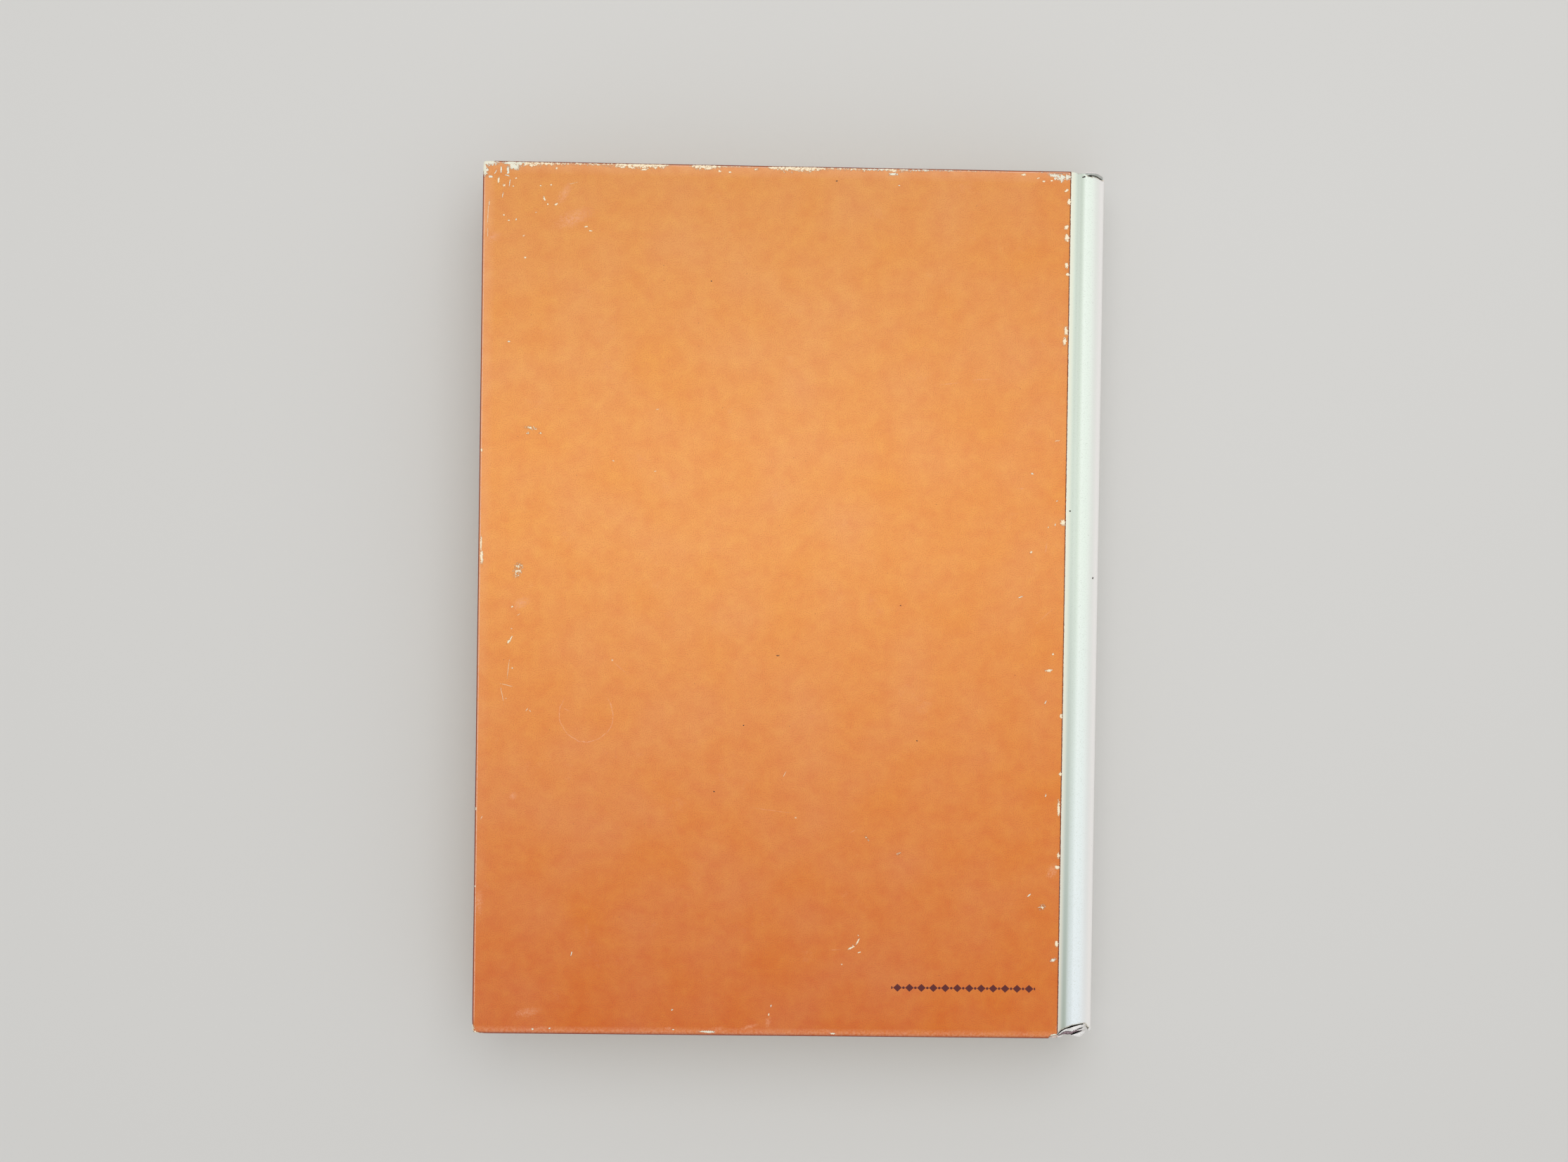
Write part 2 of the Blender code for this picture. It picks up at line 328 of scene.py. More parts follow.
# ------------------------------------------------------------------ flyleaves
# The loose half of each endpaper: one leaf of smooth offset paper, tipped to the first and the last page.
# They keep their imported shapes.


def endpaper_stock(name, place_from):
    """Smooth offset paper: even warm white, faint cloudiness from the way the fibres settled, matt.
    The clouds are 8 mm across, and the tooth 0.5 mm."""
    material, add = new_material(name, 0.75)
    place = place_from(add)
    clouds = add("TexNoise", {}, [place, 0.12, 4.0, 0.6])
    tooth = add("TexNoise", {}, [place, 2.0, 3.0])
    paper = add("Mix", COLOURS, [clouds, "E4DDCC", "F4F0E6"])
    return finish_surface(material, paper, tooth, 0.02)


def place_from_object(add):
    """Where the point is in the piece's own space, in millimetres."""
    return add("VectorMath", "SCALE", [add("TexCoord").outputs["Object"], 1000.0])


flyleaf_paper = endpaper_stock("smooth_offset_paper", place_from_object)
for name in ("back_flyleaf", "front_flyleaf"):
    nodes[name].data.materials[0] = flyleaf_paper


# ------------------------------------------------------------------ boards
# Two sheets of grey binder's board, rolled from waste paper pulp and cut square. The covering hides them.


def binders_board():
    """Rolled grey board: dull brown-grey pulp with dark and light flecks of waste paper, 0.5 mm across."""
    material, add = new_material("rolled_grey_binders_board", 0.95)
    place = place_from_object(add)
    pulp = add("TexNoise", {}, [place, 1.6, 5.0, 0.7])
    spots = add("MapRange", {}, [add("TexVoronoi", {}, [place, 0.9]), 0.12, 0.2])
    grey = add("Mix", COLOURS, [pulp, "8A8175", "B5AC9D"])
    board = add("Mix", COLOURS, [spots, "5F564C", grey])
    return finish_surface(material, board, pulp, 0.05)


board_stock = binders_board()
for name in ("back_board", "front_board"):
    nodes[name].data.materials[0] = board_stock


# ------------------------------------------------------------------ the run of the covering
# One sheet of heavy paper goes round the whole case: over the back board, down into the joint, up over the
# card of the spine, which has settled a little squarer than a circle, and the same again to the front board.
# Its section is worked out once and used for the covering, the card inside it and what is torn at its ends.

PAPER = 0.15
GLUE_GAP = 0.15
ROUND = 0.8
TURN_IN = 16.0
SPINE_RADIUS = 16.04
HOLLOW_WALL = 1.1
CREST = (86.4, 29.2)
CREST_ANGLE = math.radians(26)
JOINT_FLOOR = (84.6, 28.1)

cover_low, cover_high = (np.array(corner) / MM for corner in cad_box)
board_low, board_high = (np.array(corner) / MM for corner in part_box("back_board"))
fore, top = cover_low[0], cover_high[2]
cover_end = cover_high[1]
board_edge = board_high[0]
flap_level = board_low[2] - PAPER - GLUE_GAP


def curve_between(a, b, c, d, count):
    """The cubic curve from a to d that sets off towards b and comes in from c, without its first point:
    the four points weighed by (1-t)³, 3(1-t)²t, 3(1-t)t² and t³."""
    t = np.linspace(0, 1, count + 1)[1:, None]
    a, b, c, d = (np.array(point, float) for point in (a, b, c, d))
    return (1 - t) ** 3 * a + 3 * (1 - t) ** 2 * t * b + 3 * (1 - t) * t**2 * c + t**3 * d


def on_spine(radius, angle):
    """The point of the spine's circle of that radius at that angle above the book's middle plane."""
    return np.stack([arc_centre + radius * np.cos(angle), middle + radius * np.sin(angle)], -1)


outer_arc = on_spine(SPINE_RADIUS, CREST_ANGLE)
inner_arc = on_spine(SPINE_RADIUS - HOLLOW_WALL, CREST_ANGLE)
downhill = np.array([math.sin(CREST_ANGLE), -math.cos(CREST_ANGLE)])
sweep = np.linspace(CREST_ANGLE, 0, 41)[1:]
slope_start = board_edge - 0.8
outside = np.concatenate([
    [(fore, top), (slope_start, top)],
    curve_between((slope_start, top), (slope_start + 1.9, top), (83.3, 28.2), JOINT_FLOOR, 40),
    curve_between(JOINT_FLOOR, (85.3, 28.05), (85.7, CREST[1]), CREST, 14),
    curve_between(CREST, (89.8, 28.75), outer_arc - 5.6 * downhill, outer_arc, 30),
    on_spine(SPINE_RADIUS, sweep),
])
inside = np.concatenate([
    [(fore, flap_level), (slope_start, flap_level)],
    curve_between((slope_start, flap_level), (82.6, flap_level), (83.6, 27.6), (84.6, 27.6), 40),
    curve_between((84.6, 27.6), (85.3, 27.6), (86.0, 27.9), (86.7, 27.8), 14),
    curve_between((86.7, 27.8), (89.2, 27.5), inner_arc - 4.8 * downhill, inner_arc, 30),
    on_spine(SPINE_RADIUS - HOLLOW_WALL, sweep),
])
run = np.concatenate([[0], np.cumsum(np.hypot(*np.diff(outside, axis=0).T))])
heading = np.gradient(outside, run, axis=0)
inward = np.stack([heading[:, 1], -heading[:, 0]], -1) / np.hypot(heading[:, 0], heading[:, 1])[:, None]


def at_run(distance, table):
    """The values of a table along the section, at these distances from the fore-edge."""
    return np.stack([np.interp(distance, run, table[:, i]) for i in (0, 1)], -1)


def run_at_x(x):
    """How far along the section the covering reaches that x, going from the fore-edge to the spine."""
    return np.interp(x, outside[:, 0], run)


# ------------------------------------------------------------------ the spine's card
# A strip of thin grey card, rolled round and glued inside the covering, keeps the spine stiff and hollow. It
# is crushed at its tail, where the book has been dropped, and stops short of the tear there.

CARD = 0.5
CARD_ANGLE = 56.3
TEAR_X = (79, 79.8, 81.5, 82.1, 82.9, 83.7, 84.9, 86, 87.5, 89, 90.2, 91, 91.5, 92.2, 93, 93.9)
TEAR_RISE = (0, 0.9, 1.2, 1.9, 2.5, 2.7, 3.1, 3.9, 4.2, 4.3, 4.1, 3.6, 3, 2.1, 1.4, 1.2)


def tail_tear(x):
    """How far above the tail the covering is torn off, between the named places along the spine."""
    return np.interp(x, TEAR_X, TEAR_RISE)


def spine_card_sheet():
    """The outer side of the card: a circle 0.3 mm inside the covering's, to its own angle below and above the
    middle plane, by the height of the case less 0.3 mm and less the tear on the upper half."""
    angle = np.linspace(-1, 1, 61) * math.radians(CARD_ANGLE)
    circle = on_spine(SPINE_RADIUS - 0.3, angle)
    tail = -cover_end + 0.3 + (tail_tear(circle[:, 0]) + 0.6) * (angle > 0.2) * smooth(angle, 0.2, 0.45)
    share = np.linspace(0, 1, 90)[:, None]
    y = tail + (cover_end - 0.6 - tail) * share
    return np.stack([np.broadcast_to(circle[:, 0], y.shape), y, np.broadcast_to(circle[:, 1], y.shape)], -1)


def grey_card():
    """Thin grey card: dull, darker than board and smoother, with short fibres 0.4 mm long."""
    material, add = new_material("thin_grey_card", 0.9)
    fibres = add("TexNoise", {}, [place_from_object(add), 2.4, 4.0])
    card = add("Mix", COLOURS, [fibres, "6F6A61", "98928A"])
    return finish_surface(material, card, fibres, 0.04)


card = make_piece("crushed_spine_card", [spine_card_sheet()[::-1]], grey_card(), thickness=CARD)
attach(card, "text_block")
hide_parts("spine_card")


# ------------------------------------------------------------------ the covering
# Heavy paper, printed orange over the boards and left pale over the joints and the spine, laminated with a
# satin film, glued down and turned in 16 mm over every edge. It is chipped to the bare paper along its edges,
# and cracked open at both ends of the spine.

HEAD_CRACK_X = (83.4, 84, 85.6, 86.2, 86.5, 86.9, 87.6, 88.9, 91.1, 92.1, 92.9, 93.5, 93.9)
HEAD_CRACK_FALL = (0, 0.3, 0.3, 0.4, 0.95, 1.2, 1.35, 1.25, 1.2, 1.2, 1, 0.4, 0.15)
MITRE = 0.17
FLAP_ROWS = 7
# the ink at head, middle and tail: painted light, brightest over the middle and shaded towards both ends
INK_SHADED_HEAD, INK_LIT_MIDDLE, INK_SHADED_TAIL = "E29241", "F39E4C", "D46B1C"


def head_crack(x):
    """How far below the head the outer layer has split, between the named places along the spine."""
    return np.interp(x, HEAD_CRACK_X, HEAD_CRACK_FALL)


def turned_edge(depth, flap, bend):
    """Paper over an edge: a quarter circle of that bend, straight down, a second quarter circle, then the
    flap. Gives how far in from the edge and how far down each row is, one column for each depth."""
    turn = np.linspace(0, np.pi / 2, 6)[1:, None]
    share = np.linspace(0, 1, 4)[1:, None]
    flap_share = np.linspace(0, 1, FLAP_ROWS + 1)[1:, None]
    across = [
        bend * (1 - np.sin(turn)),
        0 * share * bend,
        bend * (1 - np.cos(turn)),
        bend + (flap - bend) * flap_share,
    ]
    down = [
        bend * (1 - np.cos(turn)),
        bend + (depth - 2 * bend) * share,
        depth - bend + bend * np.sin(turn),
        depth + 0 * flap_share * bend,
    ]
    return np.concatenate(across), np.concatenate(down)


def cover_sheet(distance, tail_rise, head_fall, rows):
    """The covering from head flap to tail flap, for columns at these distances along the section. Between
    its two ends it follows the outer section; past an end it goes down towards the inner section. Where
    it is torn off, its edge is only the thickness of curled paper."""
    outer, inner = at_run(distance, outside), at_run(distance, inside)
    depth = np.hypot(*(inner - outer).T)
    down_way = (inner - outer) / depth[:, None]
    ends = []
    for fall in (tail_rise, head_fall):
        torn = smooth(fall, 0.2, 0.9)
        edge_depth = depth * (1 - torn) + 0.3 * torn
        bend = np.minimum(ROUND, edge_depth / 2)
        across, down = turned_edge(edge_depth, TURN_IN + (0.7 - TURN_IN) * torn, bend)
        place = outer + down_way * down[..., None]
        ends.append((place, cover_end - fall - across, cover_end - fall - bend))
    (tail_place, tail_y, tail_start), (head_place, head_y, head_start) = ends
    share = rows[:, None]
    y = np.concatenate([-tail_y[::-1], -tail_start + (head_start + tail_start) * share, head_y])
    flat = np.broadcast_to(outer, (rows.size, *outer.shape))
    place = np.concatenate([tail_place[::-1], flat, head_place])
    return np.stack([place[..., 0], y, place[..., 1]], -1)


def fore_skirt(rows):
    """The covering over the fore-edge and both its corners: the turned edge without its flap, carried round
    a path in plan, which is a quarter circle at the tail, a straight line and a quarter circle at the head."""
    corner = np.linspace(0, np.pi / 2, 7)
    straight = (2 * rows[1:-1] - 1) * (cover_end - ROUND)
    ends = np.full(7, cover_end - ROUND)
    along = np.concatenate([-ends, straight, ends])
    facing = np.concatenate([corner, np.full(straight.size, np.pi / 2), corner[::-1]])
    out_x, out_y = -np.sin(facing), np.cos(facing) * np.sign(along)
    depth = top - flap_level + MITRE * np.sin(facing)
    bend = np.full(depth.size, ROUND)
    across, down = turned_edge(depth, TURN_IN, bend)
    across = np.concatenate([bend[None], across[:-FLAP_ROWS]])
    down = np.concatenate([0 * bend[None], down[:-FLAP_ROWS]])
    x = fore + ROUND + out_x * (ROUND - across)
    return np.stack([x, along + out_y * (ROUND - across), top - down], -1)


def fore_flap(rows):
    """The flap turned in over the fore-edge: flat under the head and tail flaps, its ends cut back at 45
    degrees."""
    reach = np.linspace(0, TURN_IN - ROUND, 8)[:, None]
    along = (2 * rows[None] - 1) * (cover_end - ROUND - 0.9 * reach)
    return np.stack([fore + ROUND + reach + 0 * along, along, np.full(along.shape, flap_level - MITRE)], -1)


def knock_corners(points, amounts):
    """Pushes in the two corners at the fore-edge, by the named amounts at tail and head, each less with
    distance by a bell curve 2.2 mm wide."""
    for side, amount in zip((-1, 1), amounts):
        gap = points[..., :2] - np.array([fore, side * cover_end])
        push = amount * np.exp(-(gap**2).sum(-1) / 2.2**2)
        points[..., 0] += push
        points[..., 1] -= side * push
    return points


def rows_between(count, fine):
    """Shares from 0 to 1, even, with the first and the last step cut into that many."""
    even = np.linspace(0, 1, count + 1)
    return np.unique(np.concatenate([even, np.linspace(0, even[2], fine), np.linspace(even[-3], 1, fine)]))


def cover_columns(face_count, step):
    """Distances along the section: even over the board, and every step from the joint to the spine's middle,
    starting where the board's corner is frayed."""
    fine = run_at_x(slope_start - 2.4)
    coarse = np.linspace(ROUND, fine, face_count)
    return np.concatenate([coarse, np.arange(fine + step, run[-1], step), run[-1:]])


# What has happened to the print on the back cover, as marks: x and y of the middle, half the length, half the
# width, the turn in degrees, and the tone: 1 is chipped to warm paper and 0.88 only in dots, 0.8 is a cooler
# chip and 0.7 a faint one, 0.4 to 0.6 a pale rub and -1 a dark speck. Two -1 marks are painted shade instead: a
# thin shadow line by the head and a small hole painted black.
MARKS = np.array([
    # near the head corner at the fore-edge
    (-91.5, 125.4, 0.7, 0.35, 0, 0.8), (-89.2, 124.3, 1, 0.3, 82, 1), (-88.5, 127.6, 1.1, 0.25, 88, 0.8),
    (-86.4, 127.2, 1.5, 0.4, 95, 0.8), (-86.6, 125.8, 0.9, 0.15, -14, 0.8), (-87.5, 122.9, 0.4, 0.4, 0, 1),
    (-87.5, 121.6, 0.5, 0.35, 60, 1), (-85.9, 123.5, 1.3, 0.12, 82, 0.8), (-84.8, 122.6, 0.25, 0.2, 0, 1),
    (-87.9, 120, 0.9, 0.12, 78, 0.8), (-84, 125.1, 0.3, 0.2, 30, 1), (-92.6, 127.3, 0.6, 0.4, 70, 0.8),
    (-84.7, 128.4, 1.8, 0.8, -8, 0.8), (-92.3, 113.6, 0.3, 0.15, 80, 0.8), (-83.8, 112.8, 0.3, 0.2, 40, 0.8),
    (-90.2, 126.6, 0.9, 0.15, 60, 0.8), (-91.9, 116.9, 1.9, 0.1, 88, 0.8), (-76.7, 123, 0.28, 0.23, 0, 1),
    (-73.6, 123.2, 0.27, 0.22, 0, 1), (-75.5, 119, 0.8, 0.3, 115, 1), (-74.5, 117.5, 0.3, 0.25, 0, 1),
    (-72, 117.5, 0.6, 0.25, 30, 1), (-78, 115, 0.3, 0.22, 0, 0.72), (-87.5, 114, 0.3, 0.22, 0, 1),
    (-86, 112.5, 0.3, 0.22, 0, 1), (-63, 111, 0.6, 0.2, 15, 1), (-61.7, 109.8, 0.5, 0.22, 0, 1),
    (-81.5, 108, 0.4, 0.22, 30, 0.72), (-81, 101.5, 0.35, 0.28, 0, 1), (-69.5, 121, 2.8, 1, 60, 0.5),
    (-69.7, 120.6, 1.2, 0.12, 62, 0.72), (-68, 123.6, 2.4, 0.09, 14, 0.72), (-66.5, 113.5, 4.5, 1.8, 25, 0.4),
    (-91, 107.5, 2.2, 1.2, 20, 0.45), (-92.2, 114.5, 3.2, 0.15, 88, 0.72),
    (-92.2, 108.5, 2.2, 0.13, 90, 0.72), (-85.5, 76.5, 0.4, 0.3, 0, 0.8),
    # along the fore-edge
    (-93.2, 44, 0.6, 0.3, 90, 1), (-92.8, 12.4, 2.2, 0.5, 92, 1), (-93, 16.2, 2.2, 0.3, 89, 1),
    (-93.5, -63, 0.5, 0.2, 90, 1), (-93.5, -86.2, 0.4, 0.18, 90, 1), (-92.3, -90.5, 3.2, 1, 90, 0.45),
    (-91.8, -65.5, 0.6, 0.15, 60, 0.7),
    # across the middle, from the fore-edge
    (-78.5, 50.8, 1.8, 0.5, -8, 0.88), (-79.5, 49.3, 0.5, 0.35, 0, 0.88), (-75.7, 49.3, 0.5, 0.3, 0, 0.88),
    (-41, 57, 0.6, 0.15, 10, 0.7), (-54, 41.5, 0.35, 0.25, 0, 0.7), (-41.5, 38.5, 0.35, 0.25, 0, 0.7),
    (-81.9, 8.7, 2.3, 1.1, 80, 0.88), (-83.5, -2.5, 0.35, 0.25, 30, 1), (-81.6, -4.8, 0.7, 0.12, 30, 0.72),
    (-81, -1.5, 2.4, 1.2, 30, 0.45), (-83.6, -9, 0.28, 0.22, 0, 0.72), (-84.3, -12.8, 0.9, 0.42, 55, 1),
    (-83.75, -11.9, 0.8, 0.25, 60, 1), (-83.2, -20.8, 0.3, 0.24, 0, 1), (-84.4, -20.8, 2.9, 0.13, 84, 0.72),
    (-86.2, -28.6, 3.1, 0.13, -78, 0.72), (-84.8, -25.9, 2, 0.12, -13, 0.72),
    (-85, -29.9, 0.3, 0.15, 0, 0.72), (-78.6, -33, 0.7, 0.2, 50, 0.72), (-77.8, -33.5, 0.5, 0.18, -50, 0.72),
    (-53.5, -18, 0.4, 0.3, 0, 0.7), (-51.5, -20, 2.2, 0.12, 140, 0.6), (-67, -33, 1.1, 0.12, -25, 0.6),
    (-82.5, -59, 1, 0.8, 30, 0.45), (-1.5, -51.5, 1, 0.13, 60, 0.7), (-4.5, -62.5, 5.4, 0.1, -7, 0.6),
    (2, -64.5, 0.4, 0.25, 0, 0.7), (19, -68.5, 1, 0.13, 30, 0.6), (23.5, -70.5, 1.1, 0.3, -50, 0.88),
    (46, 66, 3, 0.12, 6, 0.6), (56, 67.5, 2.6, 0.12, 3, 0.6), (33, -75, 0.9, 0.3, 25, 0.88),
    (21.4, -99.9, 0.6, 0.2, 121, 1), (21.2, -101.4, 1.15, 0.22, 62, 1), (19.5, -103.2, 1.6, 0.26, 30, 1),
    (20.4, -102.7, 1, 0.25, 0, 1), (21.7, -104.7, 0.5, 0.22, 20, 1), (14.5, -104, 1.3, 0.1, 3, 0.6),
    (16.5, -108.4, 0.3, 0.25, 0, 0.7), (-64.5, -106, 0.9, 0.15, 75, 0.8),
    # beside the joint
    (80.4, 124.4, 0.8, 0.4, 40, 1), (81.2, 121, 1, 0.6, 80, 1), (80.6, 113.5, 0.9, 0.6, 60, 1),
    (80.8, 110.3, 1.3, 0.7, 100, 1), (80.8, 102, 1, 0.5, 95, 1), (81.2, 99.3, 0.6, 0.5, 0, 1),
    (80.9, 82.5, 1.6, 0.55, 92, 1), (80.6, 79.3, 1.2, 0.6, 80, 1), (80.9, 25, 0.8, 1, 0, 1),
    (76.5, 23.5, 0.35, 0.18, 40, 1), (78.6, 24.3, 0.5, 0.13, 75, 0.8), (81.3, -33, 0.7, 0.4, 90, 1),
    (81.3, -50.5, 0.6, 0.4, 90, 1), (81, -60.8, 2.6, 0.45, 91, 1), (81.2, -75, 0.9, 0.4, 90, 1),
    (80.8, -78.5, 0.8, 0.6, 0, 1), (79.5, -79.5, 2, 1.2, 60, 0.45), (81, -101.5, 1, 0.5, 90, 1),
    (80, -106.5, 0.9, 0.5, 20, 0.8), (78.5, -14.5, 0.4, 0.3, 0, 1), (77.4, -19.4, 1.2, 0.4, 5, 1),
    (71.5, 16, 0.5, 0.35, 45, 1), (76.5, -29, 0.6, 0.2, 70, 0.8), (77, -57, 0.5, 0.2, 80, 0.8),
    (76, 17.5, 1.2, 0.25, 80, 0.6), (68.5, 2.5, 0.7, 0.15, 20, 0.8), (76, -3, 2.7, 0.12, 42, 0.6),
    (72.5, -87, 0.8, 0.2, 40, 0.8), (76.5, -90.5, 1.2, 0.8, 30, 0.88), (78.8, 49.5, 0.7, 0.2, 10, 0.7),
    (71.5, 39.5, 0.4, 0.25, 0, 0.8), (68.2, 35, 0.9, 0.15, 0, 0.6), (79, 31.5, 0.35, 0.15, 20, 0.8),
    # along the head and the tail
    (76.8, 128.8, 2, 0.5, -10, 0.8), (78.6, 128.3, 1.7, 1, 0, 0.8), (80.4, 128.4, 1.5, 0.8, -4, 0.8),
    (78.9, 127.3, 0.35, 0.8, 0, 0.8), (76.9, 127.9, 0.3, 0.5, 0, 0.8), (75.9, 127.3, 0.4, 0.3, 30, 1),
    # the long thin -1 mark at x 79 is a painted shadow line under the lifted laminate at the edge of the chips
    # beside it
    (79, 129.45, 2.9, 0.07, 0, -1), (73.6, 127, 0.45, 0.35, 0, 1), (71.8, 127.9, 0.5, 0.15, 20, 1),
    (67.5, 128.9, 0.7, 0.3, 0, 1), (28.4, 128.3, 1.3, 0.45, 0, 0.8), (30.2, 125, 0.4, 0.12, -10, 0.8),
    (-23.5, 128.3, 0.5, 0.3, 0, 1), (-20.4, 128, 0.4, 0.3, 0, 1), (-27, 128.9, 1.2, 0.25, 0, 1),
    (-46, 128.3, 1, 0.3, 8, 1), (-79.5, 128.9, 0.5, 0.4, 0, 1), (-72, 128.2, 0.4, 0.3, 60, 1),
    (28.5, 129.3, 0.9, 0.4, 0, 1), (0.5, 129.3, 0.7, 0.4, 0, 0.9), (-12.5, 129, 0.8, 0.4, 0, 0.9),
    (-75.8, -128.7, 0.35, 0.25, 0, 0.8), (-73.2, -128.5, 2.4, 0.6, 0, 0.5),
    (-70.7, -128.4, 0.35, 0.25, 0, 0.8), (-77.3, -123.6, 3, 1, 10, 0.42), (-34.2, -122.5, 0.4, 0.25, 30, 0.8),
    (-35, -128.2, 1.3, 0.5, 0, 0.5), (-33.8, -128.4, 0.35, 0.2, 0, 0.8), (-23.3, -129, 2.6, 0.35, 0, 0.8),
    (-20.5, -128.2, 1.8, 0.6, 10, 0.5), (-4.6, -121.1, 0.35, 0.15, 80, 0.8), (-5.1, -123.6, 0.5, 0.25, 60, 1),
    (-5.4, -125.6, 1.5, 0.6, 85, 0.5), (-11, -127.4, 2.2, 0.5, 15, 0.5), (14, -129.2, 0.8, 0.3, -10, 0.8),
    (12.5, -128.5, 1.8, 0.6, 0, 0.5),
    # dark specks
    (-4, -16, 0.6, 0.15, 0, -1), (-22.5, -57, 0.3, 0.25, 0, -1), (-25.5, 95.5, 0.25, 0.2, 0, -1),
    (11.5, 126, 0.3, 0.2, 0, -1), (83.2, 28.5, 0.35, 0.3, 0, -1), (91, 8.5, 0.4, 0.35, 0, -1),
    (32.5, -0.5, 0.3, 0.2, 0, -1), (38, -41, 0.25, 0.2, 0, -1), (-14, -37, 0.25, 0.2, 0, -1),
    # painted shade: a small hole in the covering by the head of the spine, painted black for its shaded inside
    (85.75, 128.78, 0.55, 0.26, 18, -1),
])


# Widths of the rubbed bands: x and millimetres along the head and the tail, y and millimetres along the side.
HEAD_RUB = [
    (-94, 1.3), (-92.5, 1.6), (-90, 1.3), (-89, 0.6), (-87.6, 0.6), (-86.8, 2), (-85, 2.1), (-82.8, 1.5),
    (-81, 1.3), (-76, 1.2), (-70, 0.9), (-60, 0.8), (-55, 1.1), (-50, 1.6), (-44, 1.5), (-40, 1.3),
    (-38, 0.4), (-33, 0.3), (-31, 1.5), (-25, 1.5), (-23, 0.6), (-10, 0.5), (-7, 1.3), (-4, 1.6), (4, 1.6),
    (7, 1), (9, 0.8), (20, 0.95), (36, 0.95), (41, 0.7), (50, 0.6), (62, 0.5), (66, 0.2), (70, 0.1),
    (72, 0.6), (76, 0.4), (81, 0), (86.2, 0), (86.4, 0.2), (93.5, 0.2),
]
TAIL_RUB = [(-94, 0.6), (-91, 0), (77, 0), (79.5, 0.5), (81.5, 0.4), (82.2, 0.25), (93.5, 0.2)]
FORE_RUB = [(-130, 0.6), (-126, 0.5), (-124, 0), (108, 0.1), (130, 0.3)]

# A mark's torn edge spreads a little past the size given for it.
CHIP_SIZE = 0.87


def vertex_places(mesh):
    """Where each vertex of a mesh is, in millimetres."""
    place = np.empty(len(mesh.vertices) * 3, np.float32)
    mesh.vertices.foreach_get("co", place)
    return place.reshape(-1, 3) / MM


def mark_wear(piece, marks):
    """Gives each face the mark nearest to it, and each of its corners the place of that corner on the mark's
    own axes, in half lengths and half widths, with the tone. Faces below the back cover get none."""
    mesh = piece.data
    place = vertex_places(mesh)
    corner = np.empty(len(mesh.loops), np.int32)
    mesh.loops.foreach_get("vertex_index", corner)
    first = np.empty(len(mesh.polygons), np.int32)
    mesh.polygons.foreach_get("loop_start", first)
    count = np.diff(np.append(first, corner.size))
    centre = np.add.reduceat(place[corner], first) / count[:, None]
    marks = marks * (1, 1, CHIP_SIZE, CHIP_SIZE, 1, 1)
    turn = np.radians(marks[:, 4])
    step = centre[:, None, :2] - marks[:, :2]
    along = np.abs(step[..., 0] * np.cos(turn) + step[..., 1] * np.sin(turn)) - marks[:, 2]
    across = np.abs(step[..., 1] * np.cos(turn) - step[..., 0] * np.sin(turn)) - marks[:, 3]
    nearest = np.hypot(np.clip(along, 0, None), np.clip(across, 0, None)).argmin(1).repeat(count)
    step = place[corner][:, :2] - marks[nearest, :2]
    turn = turn[nearest]
    along = (step[:, 0] * np.cos(turn) + step[:, 1] * np.sin(turn)) / marks[nearest, 2]
    across = (step[:, 1] * np.cos(turn) - step[:, 0] * np.sin(turn)) / marks[nearest, 3]
    values = np.stack([along, across, marks[nearest, 5]], -1)
    values[(centre[:, 2] < middle + 5).repeat(count)] = (9, 9, 0)
    mesh.attributes.new("wear_mark", "FLOAT_VECTOR", "CORNER").data.foreach_set("vector", values.ravel())


def edge_rub(place):
    """How wide a band along the edges is rubbed through, in millimetres: patches along the head, thin lines
    elsewhere, wider at the fore-edge's corners. It fades out 0.2 mm down the upright sides of the boards."""
    x, y, height = place[:, 0], place[:, 1], np.abs(place[:, 2] - middle)
    head, tail = (np.interp(x, *np.transpose(widths)) for widths in (HEAD_RUB, TAIL_RUB))
    side = np.interp(y, *np.transpose(FORE_RUB))
    near_fore = (x < fore + 5) & (np.abs(y) < cover_end - 5)
    rub = np.where(near_fore, side, np.where(y > 0, head, tail))
    corner = np.exp(-((x - fore) ** 2 + (np.abs(y) - cover_end) ** 2) / 2.4**2)
    upper = np.maximum(smooth(height, top - middle - 0.22, top - middle - 0.06), x > board_edge)
    return np.where(place[:, 2] > middle, rub, 0.2) * np.maximum(upper, corner) + 0.6 * corner


def keep_place(piece):
    """Stores where each vertex is at rest, so that a pattern follows the paper as it bends, and its wear: how
    wide a band is rubbed through there, and how far the end of the sheet is, whole or torn. In millimetres."""
    place = vertex_places(piece.data)
    x, y, z = place.T
    torn = np.where(y > 0, head_crack(x), tail_tear(x)) * (z > middle)
    wear = np.stack([edge_rub(place), cover_end - torn - np.abs(y), 0 * y], -1)
    for name, values in (("place_mm", place), ("wear_mm", wear)):
        piece.data.attributes.new(name, "FLOAT_VECTOR", "POINT").data.foreach_set("vector", values.ravel())


PRINT_START, PRINT_STEP, PRINT_STEPS, PRINT_Y = 31.5, 3.6, 12, -115.2


